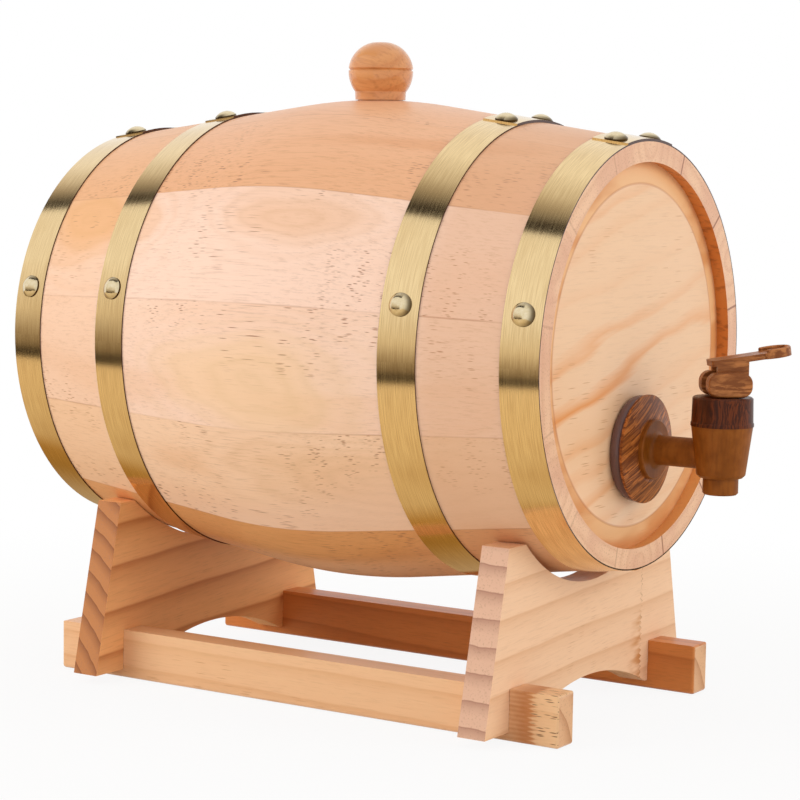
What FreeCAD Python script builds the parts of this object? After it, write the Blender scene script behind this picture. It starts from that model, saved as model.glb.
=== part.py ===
import FreeCAD, Part
import math
import os
from types import SimpleNamespace

import Sketcher

# A small coopered cask that lies on a two-board cradle and pours through a push-down tap.
# Millimetres, +Z up, the tap points to -Y.  The origin is the middle of the whole
# object's outline on the table.

# ---------------------------------------------------------------- driving dimensions
SIZES = {
    # cask
    "cask_length": 228.0,           # over both chimes
    "bilge_radius": 90.0,           # largest outside radius, at mid-length
    "stave_taper": 7.98,            # slope of the straight stave ends, degrees
    "bend_reach": 27.0,             # half the length of the bent middle of a stave
    "stave_thickness": 7.2,
    "bung_stave_span": 42.0,        # degrees that the wide top stave covers
    "plain_stave_count": 11.0,
    "axis_height": 131.0,           # cask axis above the table
    "head_recess": 3.6,             # head face below the chime end
    "head_thickness": 9.0,
    "head_bevel_width": 8.3,        # sloped border round the flat field of the head
    "head_bevel_drop": 1.4,
    "tongue_thickness": 4.0,        # rim of the head that sits in the croze
    "croze_depth": 3.0,
    "croze_clearance": 0.2,
    # hoops and rivets
    "hoop_width": 14.0,
    "hoop_thickness": 0.5,
    "quarter_hoop_share": 0.549,    # middle of a quarter hoop, as a share of the half length
    "lap_length": 34.4,
    "rivet_spacing": 25.8,          # between the two rivets of a lap
    "rivet_head_radius": 4.15,
    "rivet_head_height": 2.3,
    "rivet_edge": 0.4,
    "rivet_shank_radius": 1.5,
    "rivet_hole_clearance": 0.1,
    "side_rivet_angle": 76.5,       # degrees down from the lap on both sides
    "low_rivet_angle": 173.0,
    # bung
    "bung_shank_length": 17.0,
    "bung_shank_tip_radius": 7.6,
    "bung_shank_top_radius": 8.6,
    "bung_clearance": 0.3,
    "bung_neck_radius": 9.45,
    "bung_neck_flare": 0.2,
    "bung_neck_height": 3.1,
    "bung_ball_radius": 12.15,
    "bung_belly_height": 11.3,      # neck underside to the turned groove
    "bung_crown_height": 10.2,      # groove to the top
    "bung_groove_depth": 0.5,
    "bung_crown_share": 0.92,       # radius of the crown's side over the ball's
    # stand
    "board_thickness": 10.9,
    "board_base_half_width": 73.9,
    "board_ground_gap": 3.2,
    "board_spread": 0.45,           # board beyond the middle of the gap between two hoops
    "arch_shoulder": 1.8,           # between the arch and the notch for a rail
    "arch_rise": 10.4,
    "saddle_corner_angle": 37.3,    # degrees from straight down to the hollow's top corners
    "saddle_horn_width": 11.4,      # board top beside the hollow
    "saddle_relief": 2.8,           # air under the cask at the bottom of the hollow
    "saddle_clearance": 0.3,
    "rail_width": 10.8,
    "rail_height": 18.5,
    "rail_centre": 52.3,
    "rail_overhang": 19.6,          # rail end beyond the outer face of a board
    "rail_rounding": 1.2,
    "lap_joint_height": 10.0,
    "lap_joint_clearance": 0.1,
    "stand_lead": 4.0,              # stand sits this far towards the tap
    # tap, heights from the shank axis
    "tap_rim_distance": 28.1,       # shank axis inside the edge of the head's flat field
    "tap_reach": 34.4,              # head face to the upright axis of the tap
    "outer_washer_radius": 19.0,
    "outer_washer_thickness": 4.0,
    "escutcheon_radius": 19.4,
    "escutcheon_back_radius": 18.7,
    "escutcheon_rim": 1.0,
    "escutcheon_edge": 0.5,
    "escutcheon_thickness": 3.4,
    "escutcheon_face_radius": 11.6,
    "flange_radius": 10.7,
    "flange_thickness": 1.7,
    "flange_edge": 0.4,
    "neck_radius": 5.3,
    "shank_radius": 6.2,
    "shank_clearance": 0.3,
    "shank_end": 12.0,              # shank end beyond the inner face of the head
    "shank_bore_radius": 3.2,
    "inner_washer_radius": 11.5,
    "inner_washer_thickness": 2.0,
    "nut_thickness": 6.0,
    "nut_half_flats": 11.0,
    "nut_clearance": 0.1,
    "seam_height": 10.5,            # where the collar meets the tap body
    "body_top_radius": 10.8,
    "body_foot_radius": 8.6,
    "body_foot_edge": 1.0,
    "body_foot_depth": 6.6,
    "body_ledge_depth": 7.6,
    "spout_radius": 6.25,
    "spout_depth": 13.6,
    "spout_bore_radius": 4.9,
    "spout_edge": 0.6,
    "mouth_radius": 8.3,
    "mouth_floor": 6.0,
    "chamber_radius": 6.7,
    "seat_depth": 4.6,              # chamber floor below the shank axis
    "seat_radius": 4.0,
    "seat_lip_radius": 4.8,
    "seat_lip_height": 0.6,
    "collar_height": 10.2,
    "collar_ledge_radius": 11.05,
    "collar_ledge_height": 1.0,
    "collar_top_radius": 10.6,
    "collar_edge": 0.5,
    "collar_roof": 2.4,
    "collar_skirt_radius": 8.2,
    "collar_bore_radius": 7.1,
    "cup_flange_thickness": 0.9,
    "cup_wall": 0.8,
    "cup_plug_radius": 5.3,
    "cup_plug_height": 3.2,
    "cup_plug_edge": 1.2,           # straight side of the plug below its taper
    "cup_plug_neck": 0.8,           # straight waist inside the plug's height
    "cup_waist_radius": 3.6,
    "cup_floor": 1.4,               # silicone under the stem's button
    "cup_throat_length": 1.0,
    "cup_throat_flare": 0.4,
    "cup_bell_clearance": 0.5,
    "cup_stem_clearance": 0.2,
    "stem_radius": 2.5,
    "stem_clearance": 0.1,
    "stem_neck_radius": 1.5,
    "stem_neck_length": 1.0,        # above the cup's throat
    "stem_shoulder": 0.6,
    "stem_button_radius": 2.3,
    "stem_button_height": 2.6,
    "stem_head_half_width": 2.6,
    "stem_head_half_length": 3.1,
    "stem_head_top": 5.2,           # above the pegs' axis
    "stem_crown_radius": 3.16,
    "peg_radius": 1.6,
    "peg_reach": 5.2,
    "peg_clearance": 0.08,
    "peg_end_clearance": 0.2,
    # lever, from the pegs' axis
    "lever_turn": 41.0,             # degrees that the lever points away from straight ahead
    "lobe_clearance": 0.2,
    "lobe_height": 8.6,
    "lobe_length": 15.8,
    "lobe_lead": 0.8,
    "lobe_rounding": 3.7,
    "lobe_softening": 0.8,          # fillet round the lobes' outer faces
    "lobe_reach": 7.2,              # outer faces of the two lobes from the middle
    "slot_half_width": 2.9,
    "web_half_width": 4.5,
    "web_front": 7.8,
    "web_rear": 3.4,
    "web_overlap": 0.3,             # web inside the plate
    "plate_height": 6.95,
    "plate_tilt": 8.5,
    "plate_thickness": 2.1,
    "plate_rear": 5.2,
    "plate_half_width": 4.6,
    "plate_rounding": 1.4,
    "dish_reach": 17.9,
    "dish_radius": 6.35,
    "dish_wall": 1.25,
    "dish_rim_height": 1.2,
    "dish_floor_depth": 0.5,
    "dish_rim_sweep": 250.0,        # degrees of the raised rim, open to the rear
    "cut_margin": 1.0,              # how far a cutting outline passes the surface
}


class Size:
    """A number together with the sheet expression that it comes from."""

    def __init__(self, value, text):
        self.value = value
        self.text = text

    def __add__(self, other):
        other = as_size(other)
        return Size(self.value + other.value, f"({self.text} + {other.text})")

    def __sub__(self, other):
        other = as_size(other)
        return Size(self.value - other.value, f"({self.text} - {other.text})")

    def __rsub__(self, other):
        return as_size(other) - self

    def __mul__(self, other):
        other = as_size(other)
        return Size(self.value * other.value, f"({self.text} * {other.text})")

    def __truediv__(self, other):
        other = as_size(other)
        return Size(self.value / other.value, f"({self.text} / {other.text})")

    def __neg__(self):
        return Size(-self.value, f"(0 - {self.text})")


def as_size(item):
    if isinstance(item, Size):
        return item
    return Size(float(item), repr(float(item)))


def root(item):
    return Size(math.sqrt(item.value), f"sqrt({item.text})")


def cosine(angle):
    return Size(math.cos(math.radians(angle.value)), f"cos({angle.text})")


def sine(angle):
    return Size(math.sin(math.radians(angle.value)), f"sin({angle.text})")


def tangent(angle):
    return Size(math.tan(math.radians(angle.value)), f"tan({angle.text})")


def arc_radius(half_chord, rise):
    """Radius of the arc that rises by rise over a chord of twice half_chord."""
    return (half_chord * half_chord + rise * rise) / (rise * 2)


# ---------------------------------------------------------------- document and sheet
doc = FreeCAD.newDocument("Cask")
sheet = doc.addObject("Spreadsheet::Sheet", "Sizes")
dim = SimpleNamespace()
for row, (alias, number) in enumerate(SIZES.items(), start=1):
    sheet.set(f"A{row}", str(number))
    sheet.setAlias(f"A{row}", alias)
    setattr(dim, alias, Size(number, f"Sizes.{alias}"))
doc.recompute()

Vector = FreeCAD.Vector
Rotation = FreeCAD.Rotation
X_AXIS = Vector(1, 0, 0)
Y_AXIS = Vector(0, 1, 0)
Z_AXIS = Vector(0, 0, 1)
FULL_TURN = as_size(360)
parts = []


# ---------------------------------------------------------------- drawing helpers
def new_body(label):
    body = doc.addObject("PartDesign::Body", label)
    body.Label = label
    parts.append(body)
    return body


def bind(item, name, size):
    item.setExpression(name, size.text)


def place(item, x, y, z, axis=Z_AXIS, angle=None):
    """Puts a piece at x, y, z, turned by angle about axis, all tied to the sheet."""
    x, y, z = as_size(x), as_size(y), as_size(z)
    turn = Rotation(axis, angle.value) if angle else Rotation()
    item.Placement = FreeCAD.Placement(Vector(x.value, y.value, z.value), turn)
    bind(item, "Placement.Base.x", x)
    bind(item, "Placement.Base.y", y)
    bind(item, "Placement.Base.z", z)
    if angle:
        bind(item, "Placement.Rotation.Angle", angle)


def new_sketch(body, name, role, lift=None):
    """Sketch on one of the body's own planes; lift moves it along the sketch's own Y."""
    plane = [item for item in body.Origin.OriginFeatures if item.Role == role][0]
    sketch = body.newObject("Sketcher::SketchObject", name)
    sketch.AttachmentSupport = [(plane, "")]
    sketch.MapMode = "FlatFace"
    if lift:
        sketch.AttachmentOffset = FreeCAD.Placement(Vector(0, lift.value, 0), Rotation())
        bind(sketch, "AttachmentOffset.Base.y", lift)
    return sketch


def constrain(sketch, kind, geometry, point, size):
    """Ties one coordinate of a point to the sheet, or sets the point on the axis."""
    horizontal_axis, vertical_axis, origin_point = -1, -2, 1
    if size.value == 0:
        axis = vertical_axis if kind == "DistanceX" else horizontal_axis
        sketch.addConstraint(Sketcher.Constraint("PointOnObject", geometry, point, axis))
        return
    index = sketch.addConstraint(
        Sketcher.Constraint(kind, -1, origin_point, geometry, point, size.value))
    bind(sketch, f"Constraints[{index}]", size)


def arc_between(start, end, radius, turn):
    """The shorter arc from start to end; turn is +1 counterclockwise, -1 clockwise."""
    chord = end - start
    rise = math.sqrt(radius ** 2 - (chord.Length / 2) ** 2)
    left = Vector(-chord.y, chord.x, 0).normalize()
    centre = (start + end) / 2 + left * rise * turn
    low, high = (start, end) if turn > 0 else (end, start)
    first = math.atan2(low.y - centre.y, low.x - centre.x)
    last = math.atan2(high.y - centre.y, high.x - centre.x)
    if last < first:
        last += 2 * math.pi
    return Part.ArcOfCircle(Part.Circle(centre, Z_AXIS, radius), first, last)


def outline(sketch, corners, arcs=None):
    """Closed outline; arcs maps a side's number to its (radius, turn)."""
    arcs = arcs or {}
    corners = [(as_size(x), as_size(y)) for x, y in corners]
    points = [Vector(x.value, y.value, 0) for x, y in corners]
    first_free = sketch.GeometryCount
    ends = []
    for side, start in enumerate(points):
        end = points[(side + 1) % len(points)]
        if side in arcs:
            radius, turn = arcs[side]
            number = sketch.addGeometry(arc_between(start, end, radius.value, turn), False)
            ends.append((number, 1, 2) if turn > 0 else (number, 2, 1))
        else:
            number = sketch.addGeometry(Part.LineSegment(start, end), False)
            ends.append((number, 1, 2))
    for side, (number, _, last) in enumerate(ends):
        follower, first, _ = ends[(side + 1) % len(ends)]
        sketch.addConstraint(Sketcher.Constraint("Coincident", number, last, follower, first))
    for (number, first, _), (x, y) in zip(ends, corners):
        constrain(sketch, "DistanceX", number, first, x)
        constrain(sketch, "DistanceY", number, first, y)
    for side, (radius, _) in arcs.items():
        index = sketch.addConstraint(
            Sketcher.Constraint("Radius", first_free + side, radius.value))
        bind(sketch, f"Constraints[{index}]", radius)


def disc_outline(sketch, x, y, radius):
    x, y = as_size(x), as_size(y)
    circle = Part.Circle(Vector(x.value, y.value, 0), Z_AXIS, radius.value)
    number = sketch.addGeometry(circle, False)
    centre_point = 3
    constrain(sketch, "DistanceX", number, centre_point, x)
    constrain(sketch, "DistanceY", number, centre_point, y)
    index = sketch.addConstraint(Sketcher.Constraint("Radius", number, radius.value))
    bind(sketch, f"Constraints[{index}]", radius)


def revolve(sketch, axis, angle=FULL_TURN, cut=False):
    """Turns a sketch about one of its own axes, evenly to both sides of its plane."""
    body = sketch.getParentGeoFeatureGroup()
    kind = "PartDesign::Groove" if cut else "PartDesign::Revolution"
    feature = body.newObject(kind, sketch.Name + "_turned")
    feature.Profile = sketch
    feature.ReferenceAxis = (sketch, [axis])
    feature.Midplane = angle.value < FULL_TURN.value
    bind(feature, "Angle", angle)
    return feature


def extrude(sketch, length, cut=False, both_ways=True, reverse=False):
    body = sketch.getParentGeoFeatureGroup()
    kind = "PartDesign::Pocket" if cut else "PartDesign::Pad"
    feature = body.newObject(kind, sketch.Name + "_raised")
    feature.Profile = sketch
    feature.SideType = "Symmetric" if both_ways else "One side"
    feature.Reversed = reverse
    bind(feature, "Length", length)
    return feature


def turned_piece(label, role, axis, corners, arcs=None):
    """A body made by one full turn of an outline."""
    body = new_body(label)
    sketch = new_sketch(body, label + "_profile", role)
    outline(sketch, corners, arcs)
    revolve(sketch, axis)
    return body


def round_edges(body, radius, wanted):
    """Fillets the edges of the body that the function wanted picks."""
    doc.recompute()
    shape = body.Tip.Shape
    names = [f"Edge{number}" for number, edge in enumerate(shape.Edges, start=1) if wanted(edge)]
    feature = body.newObject("PartDesign::Fillet", body.Label + "_rounding")
    feature.Base = (feature.BaseFeature, names)
    bind(feature, "Radius", radius)
    return feature


# ---------------------------------------------------------------- shape of the cask
half_length = dim.cask_length / 2
slope = tangent(dim.stave_taper)
bend_radius = dim.bend_reach / sine(dim.stave_taper)
bend_rise = dim.bend_reach * tangent(dim.stave_taper / 2)
bend_end_radius = dim.bilge_radius - bend_rise
chime_radius = bend_end_radius - (half_length - dim.bend_reach) * slope


def outer_radius(reach):
    """Outside radius of the straight stave ends, at a reach from mid-length."""
    return chime_radius + (half_length - reach) * slope


def inner_radius(reach):
    return outer_radius(reach) - dim.stave_thickness


croze_outer = half_length - dim.head_recess - dim.head_bevel_drop
croze_inner = croze_outer - dim.tongue_thickness
croze_floor = inner_radius(croze_outer) + dim.croze_depth
head_flat_radius = inner_radius(croze_outer) - dim.head_bevel_width
tap_drop = head_flat_radius - dim.tap_rim_distance

# Places along Y: the origin halves the reach from the lever's tip to the rear chime.
head_face = half_length - dim.head_recess
tap_axis_reach = head_face + dim.tap_reach
plate_normal_reach = cosine(dim.lever_turn) * sine(dim.plate_tilt)
dish_half_depth = dim.dish_radius * root(as_size(1) - plate_normal_reach * plate_normal_reach)
dish_centre_reach = dim.dish_reach * cosine(dim.plate_tilt) * cosine(dim.lever_turn)
front_reach = tap_axis_reach + dish_centre_reach + dish_half_depth
cask_y = (front_reach - half_length) / 2
stand_y = cask_y - dim.stand_lead
tap_y = cask_y - tap_axis_reach
tap_z = dim.axis_height - tap_drop

# ---------------------------------------------------------------- staves
STAVE_CORNERS = [
    (chime_radius, -half_length),
    (bend_end_radius, -dim.bend_reach),
    (bend_end_radius, dim.bend_reach),
    (chime_radius, half_length),
    (inner_radius(half_length), half_length),
    (inner_radius(croze_outer), croze_outer),
    (croze_floor, croze_outer),
    (croze_floor, croze_inner),
    (inner_radius(croze_inner), croze_inner),
    (bend_end_radius - dim.stave_thickness, dim.bend_reach),
    (bend_end_radius - dim.stave_thickness, -dim.bend_reach),
    (inner_radius(croze_inner), -croze_inner),
    (croze_floor, -croze_inner),
    (croze_floor, -croze_outer),
    (inner_radius(croze_outer), -croze_outer),
    (inner_radius(half_length), -half_length),
]
TOP_ANGLE = 90.0


def stave(label, middle, span):
    """One stave: the cask's wall profile turned through the stave's share of the circle."""
    body = new_body(label)
    sketch = new_sketch(body, label + "_profile", "XY_Plane")
    outline(sketch, STAVE_CORNERS, {1: (bend_radius, 1), 9: (bend_radius, -1)})
    revolve(sketch, "V_Axis", span)
    place(body, 0, cask_y, dim.axis_height, -Y_AXIS, middle)
    return body


bung_stave = stave("bung_stave", as_size(TOP_ANGLE), dim.bung_stave_span)
bung_slope = (dim.bung_shank_top_radius - dim.bung_shank_tip_radius) / dim.bung_shank_length
bung_hole = new_sketch(bung_stave, "bung_hole_profile", "XY_Plane")
hole_inner_end = dim.bilge_radius - dim.bung_shank_length
hole_outer_end = dim.bilge_radius + dim.cut_margin
outline(bung_hole, [
    (hole_inner_end, 0),
    (hole_outer_end, 0),
    (hole_outer_end, dim.bung_shank_top_radius + bung_slope * dim.cut_margin + dim.bung_clearance),
    (hole_inner_end, dim.bung_shank_tip_radius + dim.bung_clearance),
])
revolve(bung_hole, "H_Axis", cut=True)

plain_count = int(dim.plain_stave_count.value)
plain_span = (FULL_TURN - dim.bung_stave_span) / dim.plain_stave_count
for number in range(plain_count):
    middle = dim.bung_stave_span / 2 + plain_span * (number + 0.5) + TOP_ANGLE
    stave(f"stave_{number + 1:02d}", middle, plain_span)


# ---------------------------------------------------------------- heads
def head(label, facing):
    """Head panel with a flat field, a bevel and a tongue; its face looks along facing * Y."""
    tongue_radius = croze_floor - dim.croze_clearance
    tongue_back = dim.head_bevel_drop + dim.tongue_thickness
    bevel_radius = inner_radius(croze_outer)
    inner_bevel = inner_radius(croze_inner) - (dim.head_thickness - tongue_back)
    corners = [
        (0, 0),
        (head_flat_radius, 0),
        (bevel_radius, -dim.head_bevel_drop),
        (tongue_radius, -dim.head_bevel_drop),
        (tongue_radius, -tongue_back),
        (inner_radius(croze_inner), -tongue_back),
        (inner_bevel, -dim.head_thickness),
        (0, -dim.head_thickness),
    ]
    if facing < 0:
        corners = [(x, -as_size(y)) for x, y in corners]
    body = turned_piece(label, "XY_Plane", "V_Axis", corners)
    place(body, 0, cask_y + head_face * facing, dim.axis_height)
    return body


head("rear_head", 1)
front_head = head("front_head", -1)
tap_hole = new_sketch(front_head, "tap_hole_outline", "XZ_Plane")
disc_outline(tap_hole, 0, -tap_drop, dim.shank_radius + dim.shank_clearance)
extrude(tap_hole, dim.head_thickness * 3, cut=True)


# ---------------------------------------------------------------- hoops and their rivets
def band_corners(low, high, inner, outer):
    """Cross-section of a band on the cask's taper between two places along Y."""
    def skin(place_y):
        reach = place_y if place_y.value > 0 else -place_y
        return outer_radius(reach)
    return [
        (skin(low) + inner, low),
        (skin(low) + outer, low),
        (skin(high) + outer, high),
        (skin(high) + inner, high),
    ]


def rivet_solid(grip):
    """Domed rivet along +Z, its head seated at Z 0 and its shank filling the grip below."""
    head_radius = dim.rivet_head_radius.value
    edge = dim.rivet_edge.value
    crown = dim.rivet_head_height.value
    shank = dim.rivet_shank_radius.value
    sphere_radius = (head_radius ** 2 + (crown - edge) ** 2) / (2 * (crown - edge))
    sphere_low = crown - sphere_radius
    half_angle = math.asin(head_radius / sphere_radius) / 2
    midway = Vector(sphere_radius * math.sin(half_angle), 0,
                    sphere_low + sphere_radius * math.cos(half_angle))
    shoulder = Vector(head_radius, 0, edge)
    summit = Vector(0, 0, crown)
    corners = [summit, Vector(0, 0, -grip), Vector(shank, 0, -grip), Vector(shank, 0, 0),
               Vector(head_radius, 0, 0), shoulder]
    sides = [Part.makeLine(a, b) for a, b in zip(corners, corners[1:])]
    sides.append(Part.Arc(shoulder, midway, summit).toShape())
    return Part.Face(Part.Wire(sides)).revolve(Vector(), Z_AXIS, 360)


def hoop(label, middle):
    """A riveted hoop whose ends lap at the top, and the node of its five rivets."""
    low = middle - dim.hoop_width / 2
    high = middle + dim.hoop_width / 2
    reach = middle if middle.value > 0 else -middle
    skin = outer_radius(reach)
    band = new_body(label + "_hoop")
    ring = new_sketch(band, label + "_ring", "XY_Plane")
    outline(ring, band_corners(low, high, as_size(0), dim.hoop_thickness))
    revolve(ring, "V_Axis")
    lap = new_sketch(band, label + "_lap", "XY_Plane")
    outline(lap, band_corners(low, high, dim.hoop_thickness, dim.hoop_thickness * 2))
    degrees_per_length = as_size(180 / math.pi) / skin
    revolve(lap, "V_Axis", dim.lap_length * degrees_per_length)

    spacing_angle = dim.rivet_spacing / 2 * degrees_per_length
    double, single = dim.hoop_thickness * 2, dim.hoop_thickness
    spots = [(spacing_angle, double), (-spacing_angle, double), (dim.side_rivet_angle, single),
             (-dim.side_rivet_angle, single), (-dim.low_rivet_angle, single)]
    leaning = dim.stave_taper.value * (1 if middle.value > 0 else -1)
    rivets = []
    for number, (angle, grip) in enumerate(spots, start=1):
        hole = band.newObject("PartDesign::SubtractiveCylinder", f"{label}_hole_{number}")
        bind(hole, "Radius", dim.rivet_shank_radius + dim.rivet_hole_clearance)
        bind(hole, "Height", dim.hoop_thickness * 8)
        outwards = Rotation(Y_AXIS, 90 - angle.value)
        lean = Rotation(Vector(-1, 0, 0), leaning)
        turn = outwards.multiply(lean)
        seat = outwards.multVec(Vector(0, 0, skin.value)) + Vector(0, middle.value, 0)
        normal = turn.multVec(Z_AXIS)
        hole.Placement = FreeCAD.Placement(seat - normal * dim.hoop_thickness.value * 4, turn)
        rivet = rivet_solid(grip.value)
        rivet.Placement = FreeCAD.Placement(seat + normal * grip.value, turn)
        rivets.append(rivet)
    place(band, 0, cask_y, dim.axis_height, -Y_AXIS, as_size(TOP_ANGLE))

    group = doc.addObject("Part::Feature", label + "_rivets")
    group.Label = label + "_rivets"
    group.Shape = Part.makeCompound(rivets)
    place(group, 0, cask_y, dim.axis_height, -Y_AXIS, as_size(TOP_ANGLE))
    parts.append(group)


chime_hoop_middle = half_length - dim.hoop_width / 2
quarter_hoop_middle = half_length * dim.quarter_hoop_share
hoop("front_chime", -chime_hoop_middle)
hoop("front_quarter", -quarter_hoop_middle)
hoop("rear_quarter", quarter_hoop_middle)
hoop("rear_chime", chime_hoop_middle)

# ---------------------------------------------------------------- bung
ball_foot = dim.bung_neck_height
groove_low = dim.bung_belly_height - dim.bung_groove_depth
groove_high = dim.bung_belly_height + dim.bung_groove_depth
bung_top = dim.bung_belly_height + dim.bung_crown_height
crown_flat_radius = dim.bung_ball_radius / 4
bung = turned_piece("bung", "XZ_Plane", "V_Axis", [
    (0, -dim.bung_shank_length),
    (dim.bung_shank_tip_radius, -dim.bung_shank_length),
    (dim.bung_shank_top_radius, 0),
    (dim.bung_neck_radius, 0),
    (dim.bung_neck_radius + dim.bung_neck_flare, ball_foot),
    (dim.bung_ball_radius, groove_low),
    (dim.bung_ball_radius - dim.bung_groove_depth, dim.bung_belly_height),
    (dim.bung_ball_radius, groove_high),
    (crown_flat_radius, bung_top),
    (0, bung_top),
], {
    4: (dim.bung_ball_radius, 1),
    7: (dim.bung_ball_radius * dim.bung_crown_share, 1),
})
place(bung, 0, cask_y, dim.axis_height + dim.bilge_radius)

# ---------------------------------------------------------------- stand
# The boards stand between the quarter and the chime hoops.  The front one is furthest
# out on the taper, so its seat sets the hollow that both boards share.
hoop_gap_middle = (quarter_hoop_middle + half_length - dim.hoop_width / 2) / 2
board_middle = hoop_gap_middle + dim.board_spread
board_reach = board_middle + dim.board_thickness / 2
hollow_radius = outer_radius(board_middle + dim.stand_lead) + dim.saddle_clearance
saddle_half_width = hollow_radius * sine(dim.saddle_corner_angle)
board_top_height = dim.axis_height - hollow_radius * cosine(dim.saddle_corner_angle)
saddle_rise = board_top_height - (dim.axis_height - hollow_radius - dim.saddle_relief)


def cradle(label, facing):
    """Saddle board: notched under for the rails, arched, and hollowed for the cask."""
    reach_from_cask = board_middle + dim.stand_lead * facing
    foot = dim.board_ground_gap
    notch_near = dim.rail_centre - dim.rail_width / 2 - dim.lap_joint_clearance
    notch_far = dim.rail_centre + dim.rail_width / 2 + dim.lap_joint_clearance
    arch_half_width = notch_near - dim.arch_shoulder
    right_side = [
        (arch_half_width, foot),
        (notch_near, foot),
        (notch_near, dim.lap_joint_height),
        (notch_far, dim.lap_joint_height),
        (notch_far, foot),
        (dim.board_base_half_width, foot),
        (saddle_half_width + dim.saddle_horn_width, board_top_height),
        (saddle_half_width, board_top_height),
    ]
    left_side = [(-x, y) for x, y in reversed(right_side)]
    saddle_side = len(right_side) - 1
    arch_side = len(right_side) + len(left_side) - 1
    body = new_body(label)
    sketch = new_sketch(body, label + "_outline", "XZ_Plane")
    outline(sketch, right_side + left_side, {
        saddle_side: (arc_radius(saddle_half_width, saddle_rise), -1),
        arch_side: (arc_radius(arch_half_width, dim.arch_rise), -1),
    })
    extrude(sketch, dim.board_thickness)

    over = dim.board_thickness / 2 + dim.cut_margin
    seat = new_sketch(body, label + "_seat", "YZ_Plane", dim.axis_height)
    seat_radius = outer_radius(reach_from_cask) + dim.saddle_clearance
    outline(seat, [
        (-over, 0),
        (-over, -(seat_radius - over * slope * facing)),
        (over, -(seat_radius + over * slope * facing)),
        (over, 0),
    ])
    revolve(seat, "H_Axis", cut=True)
    place(body, 0, stand_y - board_middle * facing, 0)


cradle("cradle_front", 1)
cradle("cradle_rear", -1)


def rail(label, side):
    """Runner on the table, notched on top where the two boards cross it."""
    body = new_body(label)
    half_width = dim.rail_width / 2
    section = new_sketch(body, label + "_side", "YZ_Plane")
    board_far = board_reach + dim.lap_joint_clearance
    board_near = board_reach - dim.board_thickness - dim.lap_joint_clearance
    rail_end = board_reach + dim.rail_overhang
    front_half = [
        (rail_end, 0),
        (rail_end, dim.rail_height),
        (board_far, dim.rail_height),
        (board_far, dim.lap_joint_height),
        (board_near, dim.lap_joint_height),
        (board_near, dim.rail_height),
    ]
    outline(section, front_half + [(-x, y) for x, y in reversed(front_half)])
    extrude(section, half_width * 2)

    def on_end_face(edge):
        return all(abs(abs(vertex.Y) - rail_end.value) < 0.01 for vertex in edge.Vertexes)

    round_edges(body, dim.rail_rounding, on_end_face)
    place(body, dim.rail_centre * side, stand_y, 0)


rail("rail_left", -1)
rail("rail_right", 1)

# ---------------------------------------------------------------- tap: shank and seals
shank_front = dim.tap_reach - dim.outer_washer_thickness - dim.escutcheon_thickness
flange_front = shank_front - dim.flange_thickness
head_inside = dim.tap_reach + dim.head_thickness
shank_tip = head_inside + dim.shank_end
disc_back = dim.tap_reach - dim.outer_washer_thickness
hole_radius = dim.shank_radius + dim.shank_clearance


def shank_ring(label, start, corners, arcs=None):
    """Ring round the shank; corners are (radius, distance towards the cask)."""
    body = turned_piece(label, "XY_Plane", "V_Axis", corners, arcs)
    place(body, 0, tap_y + start, tap_z)
    return body


washer_round = dim.outer_washer_thickness / 2
shank_ring("tap_outer_washer", disc_back, [
    (hole_radius, 0),
    (dim.outer_washer_radius - washer_round / 2, 0),
    (dim.outer_washer_radius - washer_round / 2, dim.outer_washer_thickness),
    (hole_radius, dim.outer_washer_thickness),
], {1: (arc_radius(washer_round, washer_round / 2), 1)})
escutcheon_side_end = dim.escutcheon_thickness - dim.escutcheon_edge
shank_ring("tap_escutcheon", shank_front, [
    (hole_radius, 0),
    (dim.escutcheon_face_radius, 0),
    (dim.escutcheon_radius, escutcheon_side_end - dim.escutcheon_rim),
    (dim.escutcheon_radius, escutcheon_side_end),
    (dim.escutcheon_back_radius, dim.escutcheon_thickness),
    (hole_radius, dim.escutcheon_thickness),
])
shank_ring("tap_inner_washer", head_inside, [
    (hole_radius, 0),
    (dim.inner_washer_radius, 0),
    (dim.inner_washer_radius, dim.inner_washer_thickness),
    (hole_radius, dim.inner_washer_thickness),
])

nut = new_body("tap_lock_nut")
nut_flats = new_sketch(nut, "nut_outline", "XZ_Plane")
nut_half_side = dim.nut_half_flats / math.sqrt(3)
nut_corner = nut_half_side * 2
outline(nut_flats, [
    (nut_corner, 0),
    (nut_half_side, dim.nut_half_flats),
    (-nut_half_side, dim.nut_half_flats),
    (-nut_corner, 0),
    (-nut_half_side, -dim.nut_half_flats),
    (nut_half_side, -dim.nut_half_flats),
])
disc_outline(nut_flats, 0, 0, dim.shank_radius + dim.nut_clearance)
extrude(nut_flats, dim.nut_thickness, both_ways=False, reverse=True)
place(nut, 0, tap_y + head_inside + dim.inner_washer_thickness, tap_z)

# ---------------------------------------------------------------- tap: body
tap_body = turned_piece("tap_body", "XZ_Plane", "V_Axis", [
    (0, -dim.spout_depth),
    (dim.spout_radius - dim.spout_edge, -dim.spout_depth),
    (dim.spout_radius, -dim.spout_depth + dim.spout_edge),
    (dim.spout_radius, -dim.body_ledge_depth),
    (dim.body_foot_radius - dim.body_foot_edge, -dim.body_ledge_depth),
    (dim.body_foot_radius, -dim.body_foot_depth),
    (dim.body_top_radius, dim.seam_height),
    (0, dim.seam_height),
])
shank = new_sketch(tap_body, "shank_profile", "XY_Plane")
neck_fillet = dim.flange_thickness
outline(shank, [
    (0, 0),
    (dim.neck_radius, 0),
    (dim.neck_radius, flange_front - neck_fillet),
    (dim.neck_radius + neck_fillet, flange_front),
    (dim.flange_radius - dim.flange_edge, flange_front),
    (dim.flange_radius, flange_front + dim.flange_edge),
    (dim.flange_radius, shank_front),
    (dim.shank_radius, shank_front),
    (dim.shank_radius, shank_tip),
    (0, shank_tip),
], {2: (neck_fillet, -1)})
revolve(shank, "V_Axis")
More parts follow.
